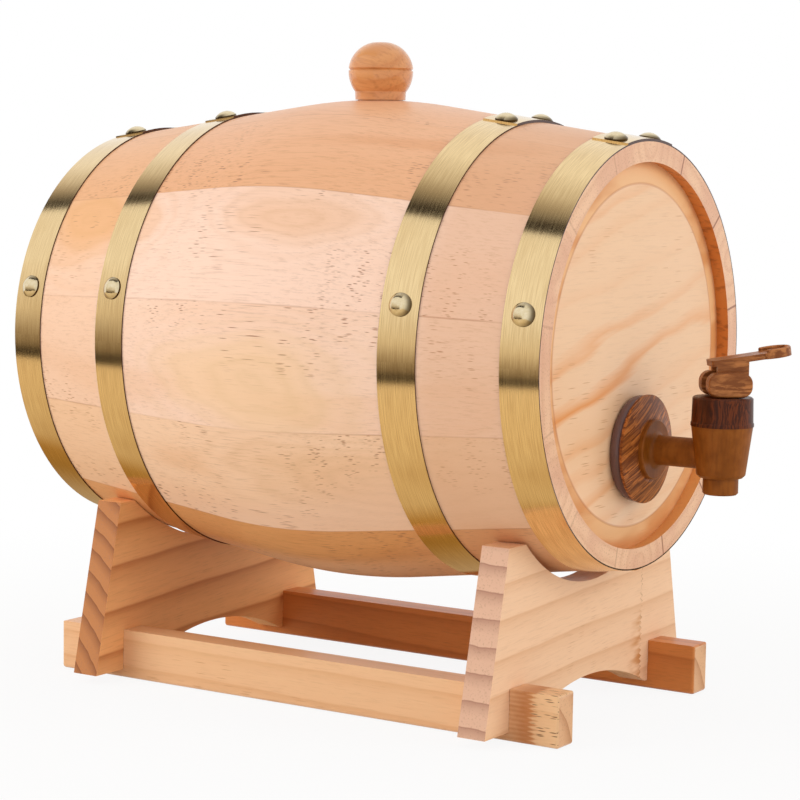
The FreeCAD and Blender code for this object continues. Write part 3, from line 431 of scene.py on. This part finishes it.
# Half the width of the step from the flat of a head to its bevel.
BEVEL_STEP = 0.0003
# Distances from that step where the painted shade along it begins and is full.
BEVEL_SHADE_REACH = (0.0006, 0.0002)
HEAD_EARLY = linear(243, 202, 162)
HEAD_LATE = linear(231, 180, 136)
HEAD_PALE = linear(248, 210, 176)
HEAD_WARM = linear(240, 188, 136)
HEAD_BAND = linear(230, 148, 76)
HEAD_DASH = linear(196, 138, 92)
BEVEL_PALE = linear(240, 188, 132)
BEVEL_DEEP = linear(218, 146, 82)
BEVEL_PAINTED_SHADE = linear(176, 92, 46)


def head_bands(p, place, slope, shift, x, z):
    """Slanting bands that sway and fray a little, and fade towards +X."""
    height = p.math("SUBTRACT", p.math("MULTIPLY", z, math.cos(slope)),
                    p.math("MULTIPLY", x, math.sin(slope)))
    sway = p.noise(p.stretched(0.5), scale=30, detail=2)
    slanting = p.vector("MULTIPLY", p.local(place, (0, -slope, 0)), (0.06, 1, 1))
    frayed = p.noise(slanting, scale=420, detail=2)
    height = p.math("ADD", height, p.centred(sway, amount=0.019))
    height = p.math("ADD", height, p.centred(frayed, amount=0.0032))
    height = p.math("ADD", height, shift)
    stops = [(0.0, 0.0)]
    for band, strength in HEAD_BANDS:
        at = 0.5 + 0.5 * band / HEAD_REACH
        stops += [(at - BAND_BEGINS, 0.0), (at - BAND_CREST, strength), (at + BAND_ENDS, 0.0)]
    bands = p.ramp(p.math("ADD", p.math("MULTIPLY", height, 0.5 / HEAD_REACH), 0.5), stops)
    return p.math("MULTIPLY", bands, p.fit(x, *BANDS_ACROSS))


def head_material(name, end_y, slope, shift):
    """Head panel: slanting bands low on it, fine dashes across, an orange bevelled border, and painted
    shade along the step to it.
    """
    place = (0, end_y, axis_height)
    p = Pine(f"{name}_pine", "X", place)
    x, _, z = p.split(p.here)
    z = p.math("SUBTRACT", z, axis_height)
    bands = head_bands(p, place, slope, shift, x, z)
    p.lay(p.noise(p.stretched(0.10), scale=130), 0.30, HEAD_EARLY, HEAD_LATE, fine=0.20)
    p.patches(HEAD_PALE, amount=0.6, size=15, stretch=0.4)
    p.patches(HEAD_WARM, amount=0.45, size=19, stretch=0.4, low=0.52, high=0.70)
    p.tint(bands, 1.0, HEAD_BAND)
    p.dashes(HEAD_DASH, amount=0.60, share=0.35, crowd_size=24)
    radius = p.length(x, z)
    slant = p.fit(radius, HEAD_FLAT_RADIUS - BEVEL_STEP, HEAD_FLAT_RADIUS + BEVEL_STEP)
    border = p.mix(p.fit(p.noise(p.stretched(0.3), scale=80), 0.38, 0.62), BEVEL_PALE, BEVEL_DEEP)
    p.tint(slant, 0.85, border)
    # Painted shade along the step from the flat to the bevel.
    off_edge = p.math("ABSOLUTE", p.math("SUBTRACT", radius, HEAD_FLAT_RADIUS))
    p.tint(p.fit(off_edge, *BEVEL_SHADE_REACH), 0.35, BEVEL_PAINTED_SHADE)
    return p.varnish()


# A head: its end of the cask, the slope of its bands in radians, and how far they sit lower.
for name, end_y, slope, shift in (("front_head", front_end, 0.245, 0.0),
                                  ("rear_head", rear_end, -0.20, 0.009)):
    set_material(name, head_material(name, end_y, slope, shift))

# ---------------------------------------------------------------- cradle
# A board: light wood, dark wood, strength, slope and spacing of its bands.
PALE_BOARD = (linear(250, 208, 170), linear(218, 160, 112), 0.50, 0.050, 0.0125)
# Darker tones for the rear board: painted shade from the cask above it.
PAINTED_SHADE_BOARD = (linear(255, 192, 130), linear(192, 112, 56), 0.80, 0.070, 0.0160)
# A rail: light wood, dark wood and strength of its bands.
PALE_RAIL = (linear(242, 194, 148), linear(218, 158, 106), 0.45)
# Darker tones for the right rail: painted shade from the cask and boards above it.
PAINTED_SHADE_RAIL = (linear(218, 136, 70), linear(172, 90, 34), 0.55)
# An end: how far the middle of its rings is aside of the piece's and above its underside, where
# less than 0 is below it, then the spacing of the rings, their tones and strength.
PALE_EDGE = (0.002, -0.070, 0.0092, linear(230, 184, 154), linear(166, 114, 92), 0.90)
# Darker end grain for the rear board: painted shade from the cask above it.
PAINTED_SHADE_EDGE = (0.076, -0.065, 0.0066, linear(198, 129, 75), linear(128, 68, 36), 0.90)
RAIL_EDGE = (-0.030, -0.012, 0.0092, linear(232, 184, 142), linear(180, 118, 80), 0.80)
# How square to the grain a face is where its end grain begins and is full.
END_FACE = (0.75, 0.92)
# Finger joints: how far one tooth is from the next, and how deep it is.
BOARD_FINGERS = (0.0021, 0.0016)
RAIL_FINGERS = (0.0016, 0.0030)
# Distances past a joint where the wood beyond it begins and is full, and the shade before it.
BOARD_STEP = (-0.0001, 0.0002)
BOARD_SHADE = (-0.011, -0.0003)
RAIL_STEP = (-0.0016, 0.0016)
RAIL_SHADE = (-0.013, -0.0020)
# Heights where the shade at a board's joint begins and is full.
BOARD_SHADE_HEIGHTS = (0.036, 0.024)
# Distances from a board's joint where the dots along it begin and are full.
BOARD_DOTS = (0.0006, 0.0001)
# Dark dashes: where the near rail's tip begins and is full along Y, and the far rail's share.
RAIL_TIP = (-0.076, -0.080)
FAR_RAIL_SHARE = 0.10
BOARD_PITH_DROP = 0.42
RAIL_PITH_ASIDE = 0.022
RAIL_PITH_HEIGHT = -0.016
RAIL_RING_SPACING = 0.0085
BOARD_PATCH = linear(244, 198, 150)
BOARD_DASH = linear(186, 122, 74)
BOARD_JOINT_SHADE = linear(198, 124, 50)
BOARD_JOINT_DOT = linear(160, 108, 60)
RAIL_PATCH = linear(242, 192, 142)
RAIL_JOINT_SHADE = linear(192, 114, 52)
RAIL_BEYOND_JOINT = linear(240, 198, 146)
RAIL_TIP_DASH = linear(112, 68, 34)
RAIL_DASH = linear(176, 112, 62)
CRADLE_PORE = linear(164, 116, 90)


def end_rings(p, across, middle, low_z, edge):
    """End grain of a board: each ring has a thin dark line on top and fades below it."""
    shift, rise, spacing, light, dark, strength = edge
    z = p.math("SUBTRACT", p.split(p.here)[Z], low_z + rise)
    wobble = p.centred(p.noise(p.here, scale=90), amount=0.0024)
    radius = p.math("ADD", p.length(p.math("SUBTRACT", across, middle + shift), z), wobble)
    face = p.mix(p.math("MULTIPLY", p.ring(radius, spacing, BOARD_END_RING), strength), light, dark)
    pores = p.noise(p.here, scale=1300, detail=2)
    return p.mix(p.fit(pores, 0.54, 0.74, to_high=0.35), face, CRADLE_PORE)


def fingers(p, across, height, size):
    """Distance past a finger joint, whose teeth zigzag with height."""
    period, depth = size
    tooth = p.math("MULTIPLY", p.math("PINGPONG", height, period / 2), 2 * depth / period)
    return p.math("SUBTRACT", across, tooth)


def board_material(name, tones, edge, joint_x):
    """Cradle board of two lengths joined by fingers: rings show as arcs on its ends."""
    light, dark, strength, slope, spacing = tones
    low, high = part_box(name)
    middle = (low.y + high.y) / 2
    p = Pine(f"{name}_pine", "X", (0, middle, low.z - BOARD_PITH_DROP), (0, -slope, 0))
    p.rings(light, dark, spacing=spacing, contrast=strength, warp=0.010)
    p.patches(BOARD_PATCH, amount=0.35, size=14, stretch=0.35)
    p.dashes(BOARD_DASH, amount=0.30, size=1900, share=0.28, crowd_size=22)
    x, y, z = p.split(p.here)
    beyond = fingers(p, p.math("SUBTRACT", x, joint_x), z, BOARD_FINGERS)
    step = p.fit(beyond, *BOARD_STEP)
    low_half = p.fit(z, *BOARD_SHADE_HEIGHTS)
    rise = p.fit(beyond, *BOARD_SHADE)
    rise = p.math("MULTIPLY", rise, p.fit(p.noise(p.stretched(0.25), scale=300), 0.35, 0.65))
    fade = p.math("MULTIPLY", p.math("MULTIPLY", rise, p.math("SUBTRACT", 1.0, step)), low_half)
    p.tint(fade, 0.85, BOARD_JOINT_SHADE)
    dots = p.noise(p.here, scale=900)
    near = p.fit(p.math("ABSOLUTE", beyond), *BOARD_DOTS)
    p.tint(p.math("MULTIPLY", near, p.fit(dots, 0.50, 0.62)), 0.50, BOARD_JOINT_DOT)
    p.colour = p.mix(p.facing(X, *END_FACE), p.colour, end_rings(p, y, middle, low.z, edge))
    return p.varnish()


def rail_material(name, tones, joint_y):
    """Rail with long bands, a finger joint near its end, and slanting rings on its ends."""
    light, dark, strength = tones
    low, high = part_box(name)
    middle = (low.x + high.x) / 2
    side = 1 if low.x > 0 else -1
    pith = (middle + RAIL_PITH_ASIDE * side, 0, RAIL_PITH_HEIGHT)
    p = Pine(f"{name}_pine", "Y", pith, (0, 0, 0.03 * side))
    p.rings(light, dark, spacing=RAIL_RING_SPACING, contrast=strength, warp=0.008)
    p.patches(RAIL_PATCH, amount=0.40, size=14, stretch=0.3)
    x, y, z = p.split(p.here)
    before = fingers(p, p.math("SUBTRACT", joint_y, y), z, RAIL_FINGERS)
    before = p.math("ADD", before, p.centred(p.noise(p.here, scale=420), amount=0.0030))
    step = p.fit(before, *RAIL_STEP)
    fade = p.math("MULTIPLY", p.fit(before, *RAIL_SHADE), p.math("SUBTRACT", 1.0, step))
    p.tint(fade, 0.80, RAIL_JOINT_SHADE)
    p.tint(step, 0.30, RAIL_BEYOND_JOINT)
    # Dark dashes crowd the front tip of the rail at -X, and are faint all along the other one.
    tip = p.fit(y, *RAIL_TIP) if side < 0 else FAR_RAIL_SHARE
    p.dashes(RAIL_TIP_DASH, amount=0.90, stretch=0.12, share=0.80, crowd=(0.20, 0.30), thickness=0.27,
             within=tip)
    p.dashes(RAIL_DASH, amount=0.45, size=1800, stretch=0.05)
    p.colour = p.mix(p.facing(Y, *END_FACE), p.colour, end_rings(p, x, middle, low.z, RAIL_EDGE))
    return p.varnish()


set_material("cradle_front", board_material("cradle_front", PALE_BOARD, PALE_EDGE, joint_x=0.0395))
set_material("cradle_rear", board_material("cradle_rear", PAINTED_SHADE_BOARD, PAINTED_SHADE_EDGE, joint_x=0.085))
set_material("rail_left", rail_material("rail_left", PALE_RAIL, joint_y=-0.0775))
set_material("rail_right", rail_material("rail_right", PAINTED_SHADE_RAIL, joint_y=-0.100))

# ---------------------------------------------------------------- bung
# The rings of the bung are round a place beside it, behind it and below its top.
BUNG_PITH_ASIDE = 0.03
BUNG_PITH_BEHIND = 0.02
BUNG_PITH_BELOW = 0.06
BUNG_RING_SPACING = 0.0045
BUNG_EARLY = linear(219, 150, 90)
BUNG_LATE = linear(196, 120, 62)
BUNG_FIBRE = linear(150, 84, 36)


def bung_material():
    """Turned stopper with a deep gloss: rings and dark fibres across it."""
    g = Material("bung_varnish")
    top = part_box("bung")[1].z
    pith = (BUNG_PITH_ASIDE, mid_length + BUNG_PITH_BEHIND, top - BUNG_PITH_BELOW)
    along = g.local(pith, (0.2, 0.1, 0))
    x, _, z = g.split(along)
    swirl = g.noise(along, scale=40, detail=2)
    radius = g.math("ADD", g.length(x, z), g.math("MULTIPLY", swirl, 0.006))
    ring = g.ring(radius, BUNG_RING_SPACING, BUNG_RING)
    fibre = g.noise(g.vector("MULTIPLY", along, (1, 0.06, 1)), scale=900)
    colour = g.mix(g.math("MULTIPLY", ring, 0.5), BUNG_EARLY, BUNG_LATE)
    colour = g.mix(g.math("MULTIPLY", g.fit(fibre, 0.45, 0.75), 0.3), colour, BUNG_FIBRE)
    return g.finish({"Base Color": colour, "Roughness": 0.35, "Specular IOR Level": 0.3,
                     "Coat Weight": 0.7, "Coat Roughness": 0.06,
                     "Normal": g.bump(fibre, distance=0.00004)})


set_material("bung", bung_material())

# ---------------------------------------------------------------- metal
# Turns an angle round the cask into a length on a hoop.
HOOP_RADIUS = 0.08
# How far a face of a hoop looks along the cask where it begins to be a cut edge and is one; cut edges
# get painted shade.
HOOP_CUT_FACE = (0.6, 0.85)
HOOP_ROUGHNESS = 0.10
STREAK_ROUGHNESS = 0.08
# How far a face of a rivet looks outward where the painted dark reflection begins and is full.
RIVET_SIDE_FACE = (0.89, 0.59)
HOOP_DEEP = linear(222, 192, 142)
HOOP_PALE = linear(244, 216, 164)
HOOP_CLOUD = linear(204, 166, 108)
HOOP_EDGE_PAINTED_SHADE = linear(96, 78, 74)
RIVET_PALE = linear(240, 226, 196)
RIVET_DEEP = linear(216, 194, 146)
RIVET_PAINTED_DARK_RIM = linear(84, 66, 40)


def hoop_material(name, middle_y):
    """Brushed antique brass: streaks run round the hoop, and the cut edges are dark with painted
    shade.
    """
    g = Material(name)
    x, y, z = g.split(g.local((0, middle_y, axis_height)))
    around = g.join(g.math("MULTIPLY", g.math("ARCTAN2", z, x), HOOP_RADIUS), y, 0.0)
    streak = g.noise(g.vector("MULTIPLY", around, (0.03, 1, 1)), scale=2600, detail=3, roughness=0.6)
    cloud = g.noise(g.vector("MULTIPLY", around, (1, 0.5, 1)), scale=45, detail=2)
    colour = g.mix(g.fit(streak, 0.3, 0.7), HOOP_DEEP, HOOP_PALE)
    colour = g.mix(g.fit(cloud, 0.45, 0.75, to_high=0.4), colour, HOOP_CLOUD)
    # Painted shade on the cut edges.
    colour = g.mix(g.facing(Y, *HOOP_CUT_FACE), colour, HOOP_EDGE_PAINTED_SHADE)
    roughness = g.math("ADD", g.math("MULTIPLY", streak, STREAK_ROUGHNESS), HOOP_ROUGHNESS)
    return g.finish({"Base Color": colour, "Metallic": 1.0, "Roughness": roughness,
                     "Normal": g.bump(streak, distance=0.000008)})


def rivet_material():
    """Polished rivets, with a painted dark reflection where each dome meets the hoop."""
    g = Material("rivet_brass")
    smear = g.noise(g.here, scale=900, detail=3)
    colour = g.mix(smear, RIVET_PALE, RIVET_DEEP)
    x, _, z = g.split(g.local((0, 0, axis_height)))
    nx, _, nz = g.split(g.normal)
    outward = g.math("ADD", g.math("MULTIPLY", nx, x), g.math("MULTIPLY", nz, z))
    outward = g.math("DIVIDE", outward, g.length(x, z))
    # Painted dark reflection round the foot of each dome.
    colour = g.mix(g.fit(outward, *RIVET_SIDE_FACE), colour, RIVET_PAINTED_DARK_RIM)
    roughness = g.fit(smear, 0.3, 0.8, 0.10, 0.22)
    return g.finish({"Base Color": colour, "Metallic": 1.0, "Roughness": roughness,
                     "Normal": g.bump(smear, distance=0.00002)})


rivet_brass = rivet_material()
for place in ("front_chime", "front_quarter", "rear_quarter", "rear_chime"):
    set_material(place + "_hoop", hoop_material(place + "_brass", centre(place + "_hoop", Y)))
    set_material(place + "_rivets", rivet_brass)

# ---------------------------------------------------------------- tap
MOULDING_DEEP = linear(130, 70, 16)
MOULDING_PALE = linear(148, 84, 26)
FLOW_MARK = linear(104, 52, 8)


def moulded_material():
    """Brown satin plastic with faint flow marks."""
    g = Material("tap_moulding")
    flow = g.noise(g.vector("MULTIPLY", g.here, (1, 1, 0.12)), scale=700, detail=3)
    mottle = g.noise(g.here, scale=180, detail=2)
    colour = g.mix(g.fit(mottle, 0.3, 0.7), MOULDING_DEEP, MOULDING_PALE)
    colour = g.mix(g.math("MULTIPLY", g.fit(flow, 0.4, 0.7), 0.35), colour, FLOW_MARK)
    return g.finish({"Base Color": colour, "Roughness": 0.38, "Specular IOR Level": 0.15,
                     "Normal": g.bump(flow, distance=0.00003)})


def printed_material(name, place, turn, light, dark, stretch, scale):
    """Plastic with a printed wood grain: fine dark streaks, longest where stretch is least."""
    g = Material(name)
    along = g.local(place, turn)
    bend = g.noise(along, scale=90, detail=2)
    bent = g.vector("ADD", along, g.join(0.0, g.math("MULTIPLY", bend, 0.006), 0.0))
    thin = g.vector("MULTIPLY", bent, stretch)
    line = g.noise(thin, scale, detail=4, roughness=0.62)
    band = g.noise(thin, scale=scale * 0.22, detail=2)
    colour = g.mix(g.fit(line, 0.40, 0.60), dark, light)
    colour = g.mix(g.math("MULTIPLY", g.fit(band, 0.42, 0.62), 0.75), colour, dark)
    return g.finish({"Base Color": colour, "Roughness": 0.36, "Specular IOR Level": 0.2,
                     "Normal": g.bump(line, distance=0.00004)})


def silicone_material(name, colour, weight):
    """Soft translucent silicone with a little dust on it."""
    g = Material(name)
    dust = g.noise(g.here, scale=700, detail=3)
    tone = g.mix(dust, colour, dimmed(colour, 0.8))
    return g.finish({"Base Color": tone, "Roughness": 0.22, "Transmission Weight": weight,
                     "IOR": 1.41, "Normal": g.bump(dust, distance=0.00002)})


tap_moulding = moulded_material()
for name in ("tap_body", "tap_lock_nut", "tap_stem"):
    set_material(name, tap_moulding)
set_material("tap_escutcheon", printed_material(
    "disc_print", (0, 0, tap_z), (0, math.radians(-28), 0), light=linear(194, 114, 52),
    dark=linear(108, 55, 24), stretch=(0.035, 0.3, 1.0), scale=1700))
set_material("tap_collar", printed_material(
    "collar_print", (0, tap_y, tap_z), (0, 0, 0), light=linear(106, 47, 13),
    dark=linear(58, 22, 5), stretch=(1.0, 1.0, 0.10), scale=1500))
set_material("tap_lever", printed_material(
    "lever_print", (0, tap_y, tap_z), (0, 0, math.radians(-49)), light=linear(190, 122, 68),
    dark=linear(128, 72, 34), stretch=(0.10, 0.6, 0.6), scale=1300))
set_material("tap_outer_washer", silicone_material("washer_silicone", linear(134, 98, 92), 0.30))
set_material("tap_inner_washer", silicone_material("washer_inner", linear(150, 130, 130), 0.2))
set_material("tap_seat_cup", silicone_material("cup_silicone", linear(226, 222, 214), 0.2))


def make_bellows():
    """The silicone seat cup as a copy of its mesh, in place of the hidden part."""
    cup = nodes["tap_seat_cup"]
    bellows = bpy.data.objects.new("seat_bellows", cup.data.copy())
    bpy.context.scene.collection.objects.link(bellows)
    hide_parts("tap_seat_cup")
    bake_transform(bellows)


make_bellows()

# ---------------------------------------------------------------- studio
WHITE = (1.0, 1.0, 1.0, 1.0)
DARK = (0.02, 0.016, 0.012, 1.0)
FLOOR_SIZE = 12.0
FLOOR_DROP = 0.0004
FLOOR_TONE = (0.78, 0.76, 0.73, 1.0)
# How white the floor shows up to the first distance from its middle, and from the second on.
FLOOR_NEAR = (0.15, 0.45)
FLOOR_WHITENESS = (0.90, 1.0)
WORLD_STRENGTH = 0.66
# Lamps, all turned to one point: name, place, width, height and watts.
LAMP_TARGET = (0, 0, 0.12)
LAMPS = [("key_left", (-1.2, 1.0, 0.6), 1.2, 1.2, 11),
         ("top", (0.0, 0.3, 1.6), 1.4, 1.4, 4),
         ("front_fill", (0.3, -1.6, 0.6), 1.2, 1.0, 9)]
# Glowing cards that only shiny surfaces see, painted reflections of the studio: corners, and tones
# from the first edge to the opposite one.
CARDS = {
    "card_above": (
        [(-0.57, 0.0, 1.1), (0.13, 0.0, 1.1), (0.56, 1.5, 1.1), (-0.12, 1.5, 1.1)],
        [(0.0, DARK), (0.16, DARK), (0.36, (0.40, 0.37, 0.33, 1.0)),
         (0.60, (0.75, 0.72, 0.68, 1.0)), (1.0, WHITE)]),
    "card_beside": (
        [(-0.544, -0.04, 0.012), (-0.544, -0.04, 0.30), (-0.285, 0.70, 0.42), (-0.285, 0.70, 0.004)],
        [(0.0, DARK), (0.075, DARK), (0.13, (0.26, 0.20, 0.13, 1.0)),
         (0.45, (0.80, 0.72, 0.60, 1.0)), (1.0, WHITE)]),
    # Painted reflection of the floor near the cask, with a dark band for the near rail and its shadow.
    "card_floor": (
        [(-0.56, -0.3, 0.001), (0.60, -0.3, 0.001), (0.60, 0.8, 0.001), (-0.56, 0.8, 0.001)],
        [(0.0, (0.88, 0.73, 0.52, 1.0)), (0.30, (0.82, 0.65, 0.42, 1.0)),
         (0.41, (0.72, 0.56, 0.34, 1.0)), (0.43, (0.46, 0.26, 0.07, 1.0)),
         (0.455, (0.36, 0.20, 0.05, 1.0)), (0.49, (0.46, 0.32, 0.17, 1.0)),
         (1.0, (0.58, 0.46, 0.31, 1.0))]),
}
CAMERA_YAW = math.radians(-57.287)
CAMERA_PITCH = math.radians(5.886)
CAMERA_ROLL = math.radians(0.929)
CAMERA_PLACE = (-0.77036, mid_length - 0.50574, 0.20261)
CAMERA_LENS = 109.32
CAMERA_SENSOR = 36.0


def white_by_ray(g, lit, white_kind, whiteness):
    """Mixes a lit shader with plain white for camera, glossy and transmission rays."""
    rays = g.node("ShaderNodeLightPath").outputs
    seen = rays["Is Camera Ray"]
    for name in ("Is Glossy Ray", "Is Transmission Ray"):
        seen = g.math("MAXIMUM", seen, rays[name])
    share = g.math("MULTIPLY", seen, whiteness)
    white = g.node(white_kind, {"Color": WHITE, "Strength": 1.0})
    g.show(g.node("ShaderNodeMixShader", {0: share, 1: lit.outputs[0], 2: white.outputs[0]}))


def add_quad(name, corners, material):
    """Adds a piece with four corners and one face."""
    mesh = bpy.data.meshes.new(name)
    mesh.from_pydata(corners, [], [(0, 1, 2, 3)])
    mesh.materials.append(material)
    quad = bpy.data.objects.new(name, mesh)
    bpy.context.scene.collection.objects.link(quad)
    return quad


def make_floor():
    """White floor that keeps the object's shadow, a little less white near the object."""
    g = Material("floor_white")
    lit = g.node("ShaderNodeBsdfDiffuse", {"Color": FLOOR_TONE})
    reach = g.node("ShaderNodeVectorMath", {0: g.here}, operation="LENGTH").outputs["Value"]
    white_by_ray(g, lit, "ShaderNodeEmission", g.fit(reach, *FLOOR_NEAR, *FLOOR_WHITENESS))
    half = FLOOR_SIZE / 2
    corners = [(-half, -half, 0), (half, -half, 0), (half, half, 0), (-half, half, 0)]
    floor = add_quad("floor", corners, g.material)
    floor.location.z = -FLOOR_DROP


def make_world():
    """White surroundings that light the object at a plain level."""
    world = bpy.data.worlds.new("studio")
    bpy.context.scene.world = world
    g = Graph(world, "ShaderNodeOutputWorld")
    lit = g.node("ShaderNodeBackground", {"Color": WHITE, "Strength": WORLD_STRENGTH})
    white_by_ray(g, lit, "ShaderNodeBackground", 1.0)


def softbox(name, place, width, height, power):
    """Lamp that shines on the target and doesn't show in shiny surfaces."""
    light = bpy.data.lights.new(name, "AREA")
    light.shape = "RECTANGLE"
    light.size = width
    light.size_y = height
    light.energy = power
    box = bpy.data.objects.new(name, light)
    box.visible_glossy = False
    box.location = place
    box.rotation_mode = "QUATERNION"
    box.rotation_quaternion = (Vector(LAMP_TARGET) - Vector(place)).to_track_quat("-Z", "Y")
    bpy.context.scene.collection.objects.link(box)


def card(name, corners, stops):
    """Glowing card that only shiny surfaces see, a painted reflection, shaded from its first edge to
    the opposite one.
    """
    g = Material(name + "_tone")
    g.show(g.node("ShaderNodeEmission", {"Color": g.ramp(g.split(g.uv)[X], stops)}))
    made = add_quad(name, corners, g.material)
    layer = made.data.uv_layers.new(name="across")
    for entry, place in zip(layer.data, ((0, 0), (1, 0), (1, 1), (0, 1))):
        entry.uv = place
    made.visible_camera = False
    made.visible_diffuse = False
    made.visible_shadow = False
    made.visible_transmission = False


def make_camera():
    """The photograph's camera, as fitted to the outline of the cask and its stand."""
    yaw = CAMERA_YAW
    pitch = CAMERA_PITCH
    back = Vector((math.sin(yaw) * math.cos(pitch), -math.cos(yaw) * math.cos(pitch), math.sin(pitch)))
    level = Vector((math.cos(yaw), math.sin(yaw), 0))
    upright = back.cross(level)
    right = level * math.cos(CAMERA_ROLL) + upright * math.sin(CAMERA_ROLL)
    up = upright * math.cos(CAMERA_ROLL) - level * math.sin(CAMERA_ROLL)
    data = bpy.data.cameras.new("photo_camera")
    data.lens = CAMERA_LENS
    data.sensor_width = CAMERA_SENSOR
    camera = bpy.data.objects.new("photo_camera", data)
    bpy.context.scene.collection.objects.link(camera)
    turned = Matrix((right, up, back)).transposed().to_4x4()
    camera.matrix_world = Matrix.Translation(CAMERA_PLACE) @ turned
    bpy.context.scene.camera = camera


make_floor()
make_world()
for name, place, width, height, power in LAMPS:
    softbox(name, place, width, height, power)
for name, (corners, stops) in CARDS.items():
    card(name, corners, stops)
make_camera()
bpy.context.scene.view_settings.view_transform = "Standard"
